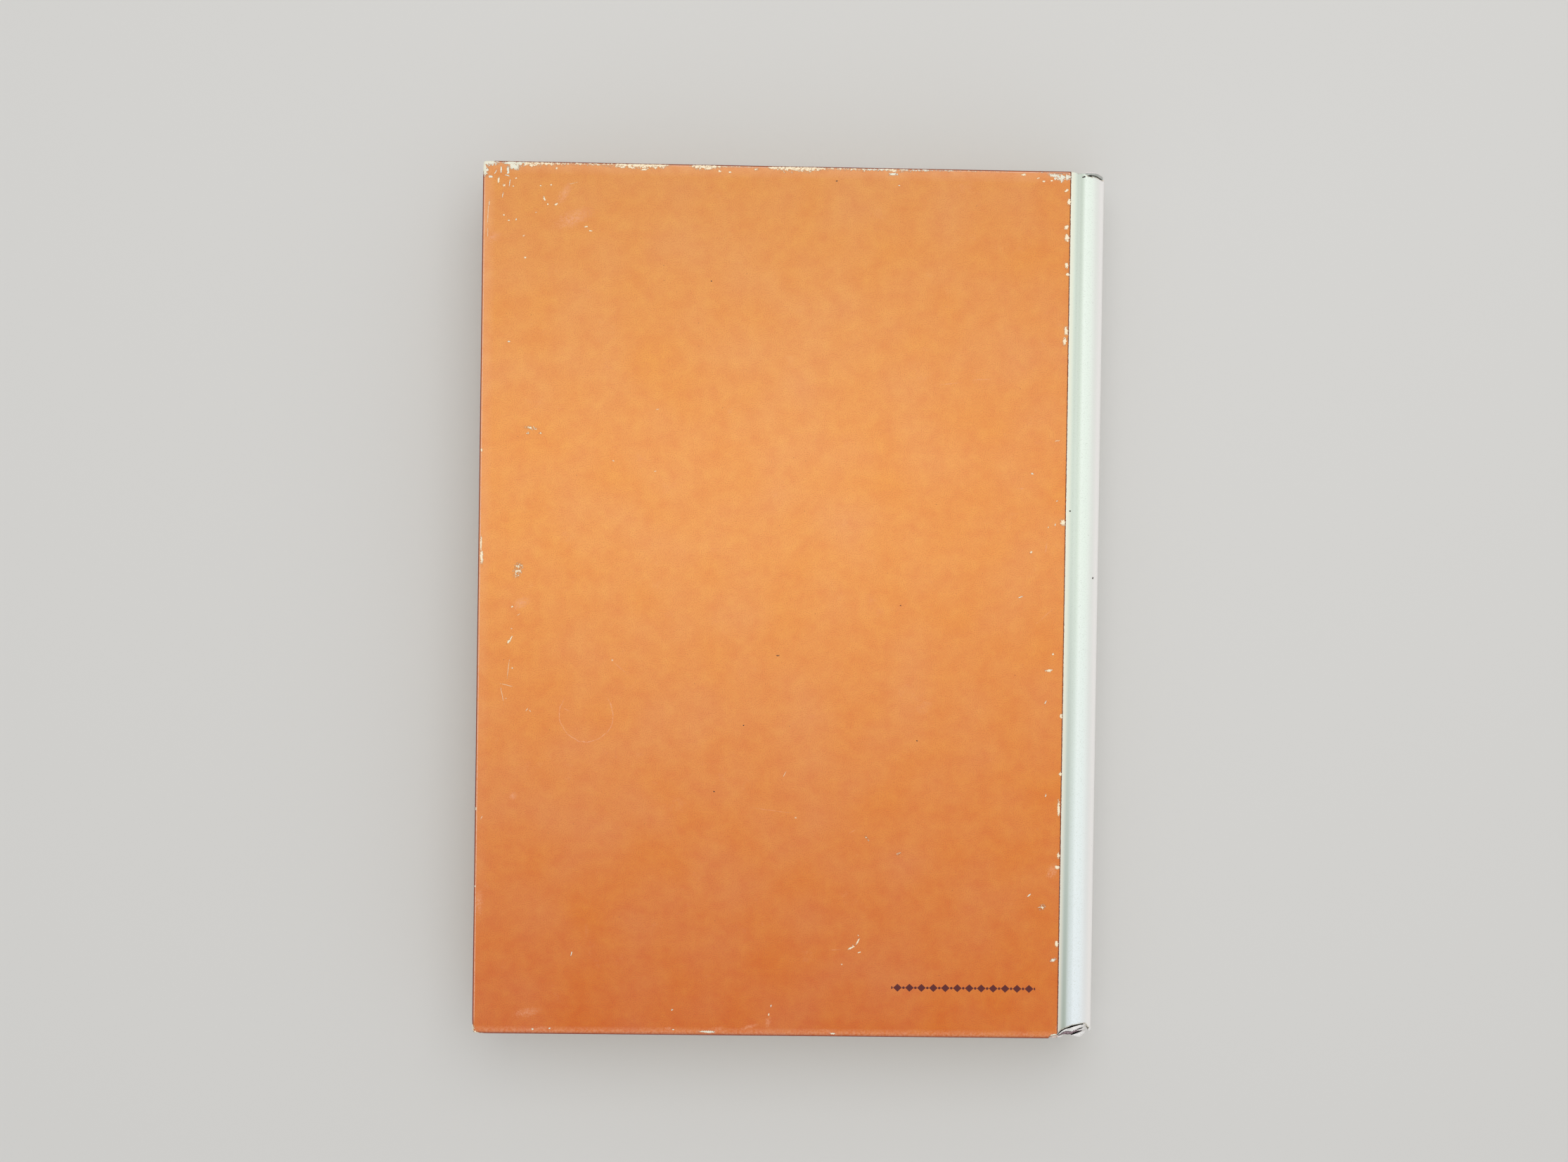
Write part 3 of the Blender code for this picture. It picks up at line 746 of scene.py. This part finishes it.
def printed_paper():
    """Litho-printed paper under satin laminate: orange ink, clouded and finely grained, over a cool pale stock
    that stays bare past the panel. Rubs lift the laminate to a pinkish haze, and chips show the bare paper.
    A thin dark line of painted shadow runs along the ink's edge by the joint, painted shade darkens the ink
    where it turns over an edge, and painted light makes it brightest over the middle of the cover. The bare
    stock has painted shade in the joint and painted light over the round of the spine."""
    material, add = new_material("laminated_printed_cover_paper", 0.5)
    place, mark, wear = (
        add("Attribute", {"attribute_name": name}).outputs["Vector"]
        for name in ("place_mm", "wear_mark", "wear_mm")
    )
    x, y, z = add("SeparateXYZ", {}, [place]).outputs
    rub, from_end, _ = add("SeparateXYZ", {}, [wear]).outputs

    # noises: 0.3 mm paper tooth, 0.8 mm tearing, 5 mm and 20 mm clouds in the ink, and a haze of rubs
    grain, ragged, cloud, blotch, haze = (
        add("TexNoise", {}, [place, *numbers])
        for numbers in ((3.2, 3, 0.6), (1.3, 5, 0.75), (0.2, 5, 0.65), (0.05, 4, 0.55), (0.09, 8, 0.8))
    )

    # how far below the face of the cover, and from its nearest edge
    height = add("Math", "ABSOLUTE", [add("Math", "SUBTRACT", [z, middle])])
    drop = add("Math", "SUBTRACT", [top - middle, height])
    on_back = add("Math", "GREATER_THAN", [z, middle + 8])
    from_fore = add("Math", "SUBTRACT", [x, float(fore)])
    from_edge = add("Math", "MINIMUM", [from_end, from_fore])
    by_edge = add("MapRange", {}, [from_edge, 3.0, 2.0])

    # the ink: brightest over the middle and deeper towards the head and the tail, a painted falloff of light;
    # darker towards the spine, redder and yellower in clouds, darker in the paper's tooth
    headward = add("MapRange", {}, [y, 45.0, 130.0])
    tailward = add("MapRange", {}, [y, 15.0, -130.0])
    spineward = add("MapRange", {}, [x, 15.0, 82.0, 0.0, 0.3])
    ink = INK_LIT_MIDDLE
    for share, colour in ((headward, INK_SHADED_HEAD), (tailward, INK_SHADED_TAIL), (spineward, "E27D15")):
        ink = add("Mix", COLOURS, [share, ink, colour])
    hue = add("MapRange", {}, [cloud, 0.3, 0.7, 0.495, 0.505])
    depth = add("MapRange", {}, [blotch, 0.3, 0.7, 1.02, 0.98])
    value = add("MapRange", {}, [cloud, 0.3, 0.7, 0.97, 1.04])
    ink = add("HueSaturation", {}, {"Hue": hue, "Saturation": depth, "Value": value, "Color": ink})
    tooth = add("MapRange", {}, [grain, 0.25, 0.55, 0.4, 0.0])

    # a band of lozenges and dots, printed low by the joint
    step = add("Math", "MULTIPLY_ADD", [x, 1 / PRINT_STEP, -PRINT_START / PRINT_STEP])
    cell = add("Math", "SUBTRACT", [add("Math", "FRACT", [step]), 0.5])
    beside = add("Math", "ABSOLUTE", [cell])
    above = add("Math", "ABSOLUTE", [add("Math", "SUBTRACT", [y, PRINT_Y])])
    lozenge = add("Math", "MULTIPLY_ADD", [beside, PRINT_STEP / 1.1, above])
    lozenge = add("Math", "LESS_THAN", [lozenge, 1.2])
    gap = add("Math", "SUBTRACT", [0.5, beside])
    reach = add("CombineXYZ", {}, [gap, add("Math", "DIVIDE", [above, PRINT_STEP]), 0.0])
    dot = add("Math", "LESS_THAN", [add("VectorMath", "LENGTH", [reach]), 0.11])
    band = add("Math", "MAXIMUM", [lozenge, dot])
    half_band = PRINT_STEPS * PRINT_STEP / 2
    within = add("Math", "COMPARE", [x, PRINT_START + half_band, half_band + 0.1])
    for share in (within, on_back):
        band = add("Math", "MULTIPLY", [band, share])

    # pale rubs: a haze, stronger along the edges, the soft marks, and an arc left by something round
    haze = add("MapRange", {}, [haze, 0.6, 0.85, 0.0, 0.25])
    handled = add("MapRange", {}, [from_edge, 4.0, 0.5, 0.0, 0.3])
    oftener = add("MapRange", {}, [y, -124.0, 125.0, 0.0, 2.0])
    scuffed = add("MapRange", {}, [ragged, 0.4, 0.6, 0.15])
    set_down = add("MapRange", {}, [y, 2.6 - cover_end, 0.9 - cover_end, 0.0, 0.5])
    set_down = add("Math", "MULTIPLY", [set_down, scuffed])
    strayed = mark
    for noise, far in ((grain, 2.6), (ragged, 2.2)):
        stray = add("VectorMath", "SUBTRACT", [noise.outputs["Color"], (0.5, 0.5, 0.5)])
        strayed = add("VectorMath", "MULTIPLY_ADD", [stray, (far, far, 0.0), strayed])
    along, across, tone = add("SeparateXYZ", {}, [strayed]).outputs
    reach = add("VectorMath", "LENGTH", [add("CombineXYZ", {}, [along, across, 0.0])])
    soft = add("MapRange", {}, [reach, 1.7, 0.1, 0.0, 0.6])
    is_rub = add("Math", "COMPARE", [tone, 0.5, 0.12])
    from_ring = add("VectorMath", "SUBTRACT", [place, (-61.0, -34.5, 0.0)])
    ring_x, ring_y, _ = add("SeparateXYZ", {}, [from_ring]).outputs
    ring = add("VectorMath", "LENGTH", [add("CombineXYZ", {}, [ring_x, ring_y, 0.0])])
    ring = add("Math", "MULTIPLY_ADD", [cloud, 1.8, ring])
    ring = add("Math", "COMPARE", [ring, 8.9, 0.12])
    lower = add("MapRange", {}, [ring_y, 5.5, 3.0])
    broken = add("MapRange", {}, [ragged, 0.42, 0.6, 0.1, 0.7])
    pale = add("Math", "MAXIMUM", [haze, set_down])
    rubs = ((soft, (scuffed, is_rub)), (ring, (lower, on_back, broken)), (handled, (cloud, oftener)))
    for rub_and_highlight, shares in rubs:
        for share in shares:
            rub_and_highlight = add("Math", "MULTIPLY", [rub_and_highlight, share])
        pale = add("Math", "MAXIMUM", [pale, rub_and_highlight])

    # over the edges: rubbed pale along the crest, then painted shade: dark red down the edge's round and over
    # the last 1.4 mm before the tail, and a deeper orange down the upright sides and on the flaps
    crest = add("Math", "COMPARE", [drop, 0.045, 0.035])
    rub_and_highlight = add("MapRange", {}, [ragged, 0.35, 0.55, 0.2, 0.75])
    before_tail = add("MapRange", {}, [y, 2 - cover_end, 6 - cover_end])
    for share in (rub_and_highlight, before_tail, by_edge):
        crest = add("Math", "MULTIPLY", [crest, share])
    edge_shade = add("MapRange", {}, [drop, 0.07, 0.2, 0.0, 0.92])
    edge_shade = add("Math", "MULTIPLY", [edge_shade, by_edge])
    dusky = add("MapRange", {}, [y, 1.4 - cover_end, -cover_end])
    edge_shade = add("Math", "MAXIMUM", [edge_shade, add("Math", "POWER", [dusky, 2.0])])
    flap = add("MapRange", {}, [drop, 0.7, 1.1, 0.0, 0.85])

    # the panel's edge by the joint, with a thin dark line of painted shadow along it
    waver = add("Math", "MULTIPLY_ADD", [ragged, 0.35, board_edge - 0.17])
    past = add("Math", "SUBTRACT", [x, waver])
    ink_edge_shadow = add("Math", "COMPARE", [past, -0.16, 0.16])
    kept = add("MapRange", {}, [grain, 0.36, 0.42, 0.0, 0.9])
    ink_edge_shadow = add("Math", "MULTIPLY", [ink_edge_shadow, kept])

    # all of these over the ink, in turn
    layers = (
        (tooth, "A04A18"), (band, "580600"), (pale, "F2AE86"), (crest, "F3BBA0"), (edge_shade, "701510"),
        (flap, "B4501F"), (ink_edge_shadow, "5A1A12"),
    )
    for share, colour in layers:
        ink = add("Mix", COLOURS, [share, ink, colour])

    # the bare stock past it: creamy beside the panel's edge, darkened green-grey in the joint by painted shade,
    # most towards the tail, and whiter and faintly pink over the outer round of the spine, painted light that
    # keeps it bright where it turns away
    flecks = add("MapRange", {}, [grain, 0.22, 0.45])
    clean = add("Mix", COLOURS, [tailward, "ECF6EB", "EBF3F7"])
    round_lit = add("MapRange", {}, [x, 88.0, 92.0])
    cream = add("MapRange", {}, [past, 1.9, 0.6])
    creamy = add("Mix", COLOURS, [tailward, "F0F1DE", "DEDACB"])
    joint_x = add("MapRange", {}, [y, -130.0, 130.0, 83.7, 84.7])
    off_joint = add("Math", "ABSOLUTE", [add("Math", "SUBTRACT", [x, joint_x])])
    groove_shade = add("MapRange", {"interpolation_type": "SMOOTHSTEP"}, [off_joint, 1.8, 0.2])
    groove_shade_strength = add("Math", "MULTIPLY_ADD", [tailward, 0.6, 0.35])
    groove_shade_strength = add("Math", "MULTIPLY_ADD", [headward, 0.2, groove_shade_strength])
    groove_shade = add("Math", "MULTIPLY", [groove_shade, groove_shade_strength])
    stock = "CBD2C8"
    for share, colour in ((flecks, clean), (round_lit, "FDFAF7"), (cream, creamy), (groove_shade, "A9B3A6")):
        stock = add("Mix", COLOURS, [share, stock, colour])

    # chips and worn edges, down to the bare paper, each with a broken dark rim of painted shadow under the
    # lifted laminate
    is_chip = add("Math", "GREATER_THAN", [tone, 0.66])
    whole = add("MapRange", {}, [tone, 0.72, 0.78, 0.48])
    is_chip = add("Math", "MULTIPLY", [is_chip, whole])
    chip, laminate_shadow_rim = (
        add("Math", "MULTIPLY", [add("MapRange", {}, [reach, *limits]), is_chip])
        for limits in ((1.12, 0.9), (1.5, 1.1))
    )
    is_dotted = add("Math", "COMPARE", [tone, 0.88, 0.03])
    gaps = add("Math", "MULTIPLY", [is_dotted, add("Math", "LESS_THAN", [ragged, 0.5])])
    chip = add("Math", {"operation": "SUBTRACT", "use_clamp": True}, [chip, gaps])
    bite = add("MapRange", {}, [ragged, 0.3, 0.7, 0.0, 1.7])
    tearing = add("Math", "MULTIPLY_ADD", [grain, 1.4, -0.7])
    widely = add("Math", {"operation": "MULTIPLY", "use_clamp": True}, [rub, 1.6])
    band_width = add("Math", "MULTIPLY", [rub, bite])
    band_width = add("Math", "MULTIPLY_ADD", [tearing, widely, band_width])
    worn = add("Math", "SUBTRACT", [band_width, from_edge])
    laminate_shadow_rim = add("Math", "MAXIMUM", [laminate_shadow_rim, add("MapRange", {}, [worn, -0.25, -0.1])])
    laminate_shadow_rim = add("Math", "MULTIPLY", [laminate_shadow_rim, add("MapRange", {}, [grain, 0.5, 0.56, 0.0, 0.55])])
    chip = add("Math", "MAXIMUM", [chip, add("MapRange", {}, [worn, 0.0, 0.1])])
    cool = add("Math", "COMPARE", [tone, 0.8, 0.05])
    core = add("Mix", COLOURS, [cool, "FFEDCB", "EEEBD7"])

    # dark specks, the marked ones and a scatter 0.3 mm across, one to about 25 square millimetres; two marked
    # ones are painted shade, a hole painted black and a shadow line by the head
    dots = add("TexVoronoi", {}, [place, 0.28])
    chosen = add("Math", "GREATER_THAN", [add("SeparateXYZ", {}, [dots.outputs["Color"]]), 0.8])
    speck_and_shade = add("Math", "LESS_THAN", [dots, 0.04])
    for share in (chosen, 0.4):
        speck_and_shade = add("Math", "MULTIPLY", [speck_and_shade, share])
    marked = add("Math", "LESS_THAN", [tone, -0.5])
    marked = add("Math", "MULTIPLY", [marked, add("Math", "LESS_THAN", [reach, 1.0])])
    speck_and_shade = add("Math", "MAXIMUM", [speck_and_shade, marked])

    # and all of it together: the stock past the panel, the rims of painted shadow, the bare paper and the
    # specks
    paper = ink
    bare = add("Math", "GREATER_THAN", [past, 0.0])
    for share, colour in ((bare, stock), (laminate_shadow_rim, "8A4318"), (chip, core), (speck_and_shade, "2A1610")):
        paper = add("Mix", COLOURS, [share, paper, colour])

    # chips are dull and lie 0.05 mm below the laminate, which has a slight orange-peel tooth
    dull = add("MapRange", {}, [chip, 0.0, 1.0, 0.5, 0.9])
    relief = add("Math", "MULTIPLY_ADD", [grain, 0.2, cloud])
    relief = add("Math", "SUBTRACT", [relief, chip])
    return finish_surface(material, paper, relief, 0.06, {"Roughness": dull})


FOLD_START = 0.1
hinge = frame["joints"][0]["pos_m"][0] / MM
fold_crest, fold_floor = hinge - FOLD_START, JOINT_FLOOR[0] - 0.3


def bend_with_cover(piece, cover, crest, board_side):
    """Bakes where the piece stands into its mesh, the same for either cover.
    The crest and board_side given to it are not used."""
    crest, board_side = (crest * MM, 0, 0), (board_side * MM, 0, 0)
    if cover == "back_cover":
        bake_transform(piece)
    else:
        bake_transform(piece)


def turned_over(points):
    """The same sheet below the book's middle plane, with its outer side still outwards."""
    return (points * (1, 1, -1) + (0, 0, 2 * middle))[::-1]


# Each half of the covering: how many columns over its board and how far apart past it, how many rows, how
# much of the tear and the crack it has, and how far its corners are pushed in at tail and head.
cover_paper = printed_paper()
halves = (
    ("back_covering", "back_cover", 118, 0.4, 166, 1.0, (0.25, 0.1)),
    ("front_covering", "front_cover", 50, 0.6, 60, 0.0, (0.15, 0.15)),
)
for name, cover, face_count, step, row_count, damage, knocks in halves:
    columns = cover_columns(face_count, step)
    rows = rows_between(row_count, 9)
    x_places = at_run(columns, outside)[:, 0]
    sheets = [
        cover_sheet(columns, damage * tail_tear(x_places), damage * head_crack(x_places), rows),
        fore_skirt(rows),
        fore_flap(rows),
    ]
    sheets = [knock_corners(points, knocks) for points in sheets]
    if cover == "front_cover":
        sheets = [turned_over(points) for points in sheets]
    covering = make_piece(name, sheets, cover_paper, thickness=PAPER)
    keep_place(covering)
    mark_wear(covering, MARKS)
    bend_with_cover(covering, cover, fold_crest, fold_floor)
    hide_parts(f"{cover}_paper")
    if cover == "back_cover":
        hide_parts("spine_paper")


# ------------------------------------------------------------------ the broken ends of the spine
# The cap at the head has split along its fold and stands off a little. The tail has been dropped on: the
# covering is torn there in an arc, and layers of turn-in and card lie crumpled below it, with dark gaps. The
# dark in those gaps and in the crack at the head is painted shade: a near-black sheet laid under both ends.

CRACK_Y = 129.38


def torn_strip(upper, lower, sink, belly, count=64):
    """A strip that follows the section from the first x of its upper edge to the last, each edge a list of
    x and y. It lies from one depth to the other below the covering, bellied out by a half sine across."""
    x_upper, y_upper = np.array(upper).T
    x_lower, y_lower = np.array(lower).T
    distance = np.linspace(run_at_x(x_upper[0]), run_at_x(x_upper[-1]), count)
    place, way = at_run(distance, outside), at_run(distance, inward)
    across = np.linspace(0, 1, 9)[:, None]
    ragged = 0.05 * np.sin(9.1 * distance) + 0.04 * np.sin(23.7 * distance + 1.3)
    y_from, y_to = np.interp(place[:, 0], x_upper, y_upper), np.interp(place[:, 0], x_lower, y_lower)
    taper = np.sin(np.pi * np.linspace(0.06, 0.94, count)) ** 0.35
    centre = (y_from + y_to) / 2
    y = centre + (across - 0.5) * (y_to - y_from) * taper + ragged * (0.4 + across)
    depth = sink[0] + (sink[1] - sink[0]) * across - belly * taper * np.sin(np.pi * across)
    sunk = place + way * depth[..., None]
    return np.stack([sunk[..., 0], y, sunk[..., 1]], -1)[::-1]


def head_cap():
    """The split cap: its lip stands over the crack, level with the covering's outer side or a little above,
    and goes up to the head and down over it like any turned edge. It closes with the covering at the middle
    of the spine."""
    distance = np.linspace(run_at_x(86.2), run[-1], 60)
    outer, inner = at_run(distance, outside), at_run(distance, inside)
    depth = np.hypot(*(inner - outer).T)
    way = (inner - outer) / depth[:, None]
    shut = smooth(outer[:, 0], 92.2, 93.5)
    apart = smooth(outer[:, 0], 86.2, 87.6)
    stand = 0.1 * apart * (1 - shut) - 0.3 * shut
    lift = 0.8 * apart * (1 - shut) * smooth(outer[:, 0], 87.0, 90.0)
    bend = np.full(depth.size, 0.3)
    across, down = turned_edge(depth + stand, 6.0, bend)
    y_edge = cover_end - 0.1 - 0.4 * shut + 0.05 * np.sin(7.0 * distance)
    y_crack = CRACK_Y - 0.5 * (1 - apart) - 0.8 * shut - 0.2 * smooth(outer[:, 0], 88, 91)
    y_crack = y_crack + 0.04 * np.sin(11.0 * distance)
    share = np.linspace(0, 1, 8)[:, None]
    lip_y = y_crack + (y_edge - bend - y_crack) * share
    lip_down = 0.3 * (1 - share) ** 3
    y = np.concatenate([lip_y, y_edge - across])
    down = np.concatenate([lip_down * np.ones_like(depth), down]) - stand
    place = outer + way * down[..., None]
    return np.stack([place[..., 0], y, place[..., 1] + lift], -1)


def place_from_rest(add):
    """Where the point lies on the sheet while the book is shut, in millimetres."""
    return add("Attribute", {"attribute_name": "place_mm"}).outputs["Vector"]


def torn_paper(name, dark, light, edge):
    """Torn heavy paper: matt, with fibres standing up along the tear 0.3 mm long, soiled in its folds, and
    turned to the third colour in the last 0.3 mm before the head of the book, which on the split cap is a
    painted highlight along its head edge. It also makes the near-black sheet of painted shade under the torn
    ends."""
    material, add = new_material(name, 0.9)
    place = place_from_rest(add)
    y = add("SeparateXYZ", {}, [place]).outputs["Y"]
    fibres = add("TexNoise", {}, [place, 3.0, 5.0, 0.75])
    strong = add("MapRange", {}, [fibres, 0.35, 0.55])
    rub_and_highlight = add("MapRange", {}, [y, cover_end - 0.35, cover_end - 0.2])
    paper = dark
    for share, colour in ((strong, light), (rub_and_highlight, edge)):
        paper = add("Mix", COLOURS, [share, paper, colour])
    return finish_surface(material, paper, fibres, 0.1)


upper_layers = [
    # the first layer under the crack, a second one on its right, and the lowest, with its ragged end
    torn_strip([(82.3, -128.6), (83.9, -127.85), (85, -127.4), (86.1, -126.85), (87.5, -126.5), (89, -126.25),
                (91.3, -126.7)],
               [(82.3, -129.2), (83.9, -128.6), (84.7, -128.35), (86, -128.2), (87.3, -127.85), (88.7, -127.35),
                (91.3, -127.5)], (0.25, 0.5), 0.3),
    torn_strip([(88, -127.65), (90, -127.6), (91.5, -127.8)],
               [(88, -127.95), (90.2, -128.1), (91.5, -128.3)], (0.35, 0.5), 0.2, 32),
    torn_strip([(85.9, -129.2), (87, -128.95), (88.1, -128.7), (89.3, -128.5), (90.5, -128.6), (91.6, -128.9)],
               [(85.9, -129.4), (87, -129.55), (88.1, -129.9), (89.3, -130.05), (90.5, -130), (91.6, -129.5)],
               (0.5, 0.8), 0.5),
    # a curled flap towards the middle of the spine, and frayed layers by the board's corner
    torn_strip([(92.2, -128.7), (93.4, -128.3)], [(92.2, -129.5), (93.4, -129.3)], (0, -0.25), 0.1, 16),
    torn_strip([(81.9, -129.4), (83.9, -129.5)], [(81.9, -129.95), (83.9, -129.8)], (0.3, 0.7), 0.2, 20),
]
frayed_corner = [
    torn_strip([(79.4, -129.75), (80.4, -129.3), (82.2, -129.1)],
               [(79.4, -130), (82.2, -129.95)], (0.15, 0.5), 0.1, 24),
]
core_layers = [
    torn_strip([(82.6, -129.2), (84.7, -128.4), (86, -128.25), (87.4, -127.9), (88.9, -127.8), (91.5, -128.2)],
               [(82.6, -129.6), (84.7, -129.25), (86, -128.85), (87.4, -128.4), (88.9, -128.2), (91.5, -128.6)],
               (0.65, 0.8), 0.1),
]
# a near-black sheet below the tear at the tail and the crack at the head: painted shade for the inside of the
# gaps
shade_sheets = [
    torn_strip([(81.9, -128.3), (83.7, -127), (86, -125.9), (88.5, -125.4), (91.6, -125.8)],
               [(81.9, -129.7), (86, -129.5), (91.6, -129.7)], (1.1, 1.4), 0),
    torn_strip([(85.9, 129.5), (93.2, 129.5)], [(85.9, 128.3), (87, 127.6), (93.2, 127.6)], (0.75, 0.6), 0),
]
# the near-black sheet under the torn ends is painted shade
ends = (
    ("torn_tail_layers", upper_layers, 0.12, ("torn_cover_paper", "D3D0CE", "FAF8F6", "FAF8F6")),
    ("frayed_joint_corner", frayed_corner, 0.12, ("frayed_cover_paper", "A9847A", "EADACF", "EADACF")),
    ("torn_tail_core", core_layers, 0.12, ("delaminated_grey_card", "40201F", "A58F96", "A58F96")),
    ("painted_shade_under_tears", shade_sheets, 0.05, ("near_black_painted_shade", "080605", "14100D", "14100D")),
    # the split cap: grey paper, with a painted highlight along its head edge
    ("split_head_cap", [head_cap()], 0.12, ("grey_cap_paper_with_painted_highlight", "979A94", "C0C3BD", "F7E9EA")),
)
for name, strips, thickness, stock in ends:
    layer = make_piece(name, strips, torn_paper(*stock), thickness=thickness)
    keep_place(layer)
    bend_with_cover(layer, "back_cover", fold_crest, fold_floor)


# ------------------------------------------------------------------ pastedowns
# The glued half of each endpaper: it covers the turned-in flaps and crosses the joint to the shoulder of the
# leaves, where it is one sheet with the flyleaf. The flaps show through it as low steps.


def pastedown_sheet():
    """The side towards the leaves: one paper's thickness below the board, the head and tail flaps or the
    fore-edge flap, with steps 0.8 mm wide between, and rising over the joint to the shoulder."""
    joint_end = block_high[0] - BACK_ROUNDING - 0.2
    across = np.concatenate([
        np.linspace(block_low[0], fore + TURN_IN - 1, 10),
        np.linspace(fore + TURN_IN - 0.8, fore + TURN_IN + 0.4, 6),
        np.linspace(fore + TURN_IN + 3, board_edge, 40),
        np.linspace(board_edge + 0.15, joint_end, 18),
    ])
    flap_end = cover_end - TURN_IN
    half = np.concatenate([
        np.linspace(0, flap_end - 2, 26),
        np.linspace(flap_end - 0.8, flap_end + 0.6, 6),
        np.linspace(flap_end + 3, leaf_end, 5),
    ])
    along = np.concatenate([-half[:0:-1], half])
    y, x = np.meshgrid(along, across, indexing="ij")
    over_ends = smooth(np.abs(y), flap_end - 0.7, flap_end + 0.1)
    over_fore = 1 - smooth(x, fore + TURN_IN - 0.1, fore + TURN_IN + 0.7)
    rise = 0.12 * smooth(x, board_edge, joint_end)
    step_down = np.maximum(0.28 * over_ends - rise * over_ends, 0.44 * over_fore)
    return np.stack([x, y, board_low[2] - 0.2 + rise - step_down], -1)[::-1]


pastedown_paper = endpaper_stock("pasted_offset_paper", place_from_rest)
for cover in ("back", "front"):
    sheet_points = pastedown_sheet() if cover == "back" else turned_over(pastedown_sheet())
    pastedown = make_piece(f"{cover}_endpaper", [sheet_points], pastedown_paper, thickness=0.12)
    keep_place(pastedown)
    shoulder = block_high[0] - BACK_ROUNDING
    bend_with_cover(pastedown, f"{cover}_cover", shoulder - 0.1, shoulder - 1.1)
    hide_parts(f"{cover}_pastedown")


# ------------------------------------------------------------------ floor, light and camera
# A plain pale floor, a soft lamp high above the head of the book, a pale room round it, and the camera
# straight above the back cover.

ground = bpy.data.meshes.new("pale_floor")
ground.from_pydata([(-3, -3, 0), (3, -3, 0), (3, 3, 0), (-3, 3, 0)], [], [(0, 1, 2, 3)])
matt_card = new_material("matt_pale_card", 0.9)[0]
feed(matt_card.node_tree.nodes["Principled BSDF"], {"Base Color": "D6D5D2"})
ground.materials.append(matt_card)
put_in_scene("pale_floor", ground)

world = bpy.data.worlds.new("pale_room")
world.use_nodes = True
feed(world.node_tree.nodes["Background"], {"Color": "FFFFFF", "Strength": 0.75})
bpy.context.scene.world = world

lamp = bpy.data.lights.new("soft_lamp", "AREA")
lamp.shape = "SQUARE"
lamp.size = 0.7
lamp.energy = 2.0
soft_lamp = put_in_scene("soft_lamp", lamp)
soft_lamp.location = (0.06, 0.25, 0.8)
soft_lamp.rotation_euler = (math.radians(-17), math.radians(4), 0)

lens = bpy.data.cameras.new("camera")
lens.lens = 50.0
lens.sensor_width = 36.0
camera = put_in_scene("camera", lens)
camera.location = (-0.01827, 0.01357, 0.68119)
camera.rotation_euler = (-0.01148, -0.02401, 0.01453)
bpy.context.scene.camera = camera
bpy.context.scene.view_settings.view_transform = "Standard"
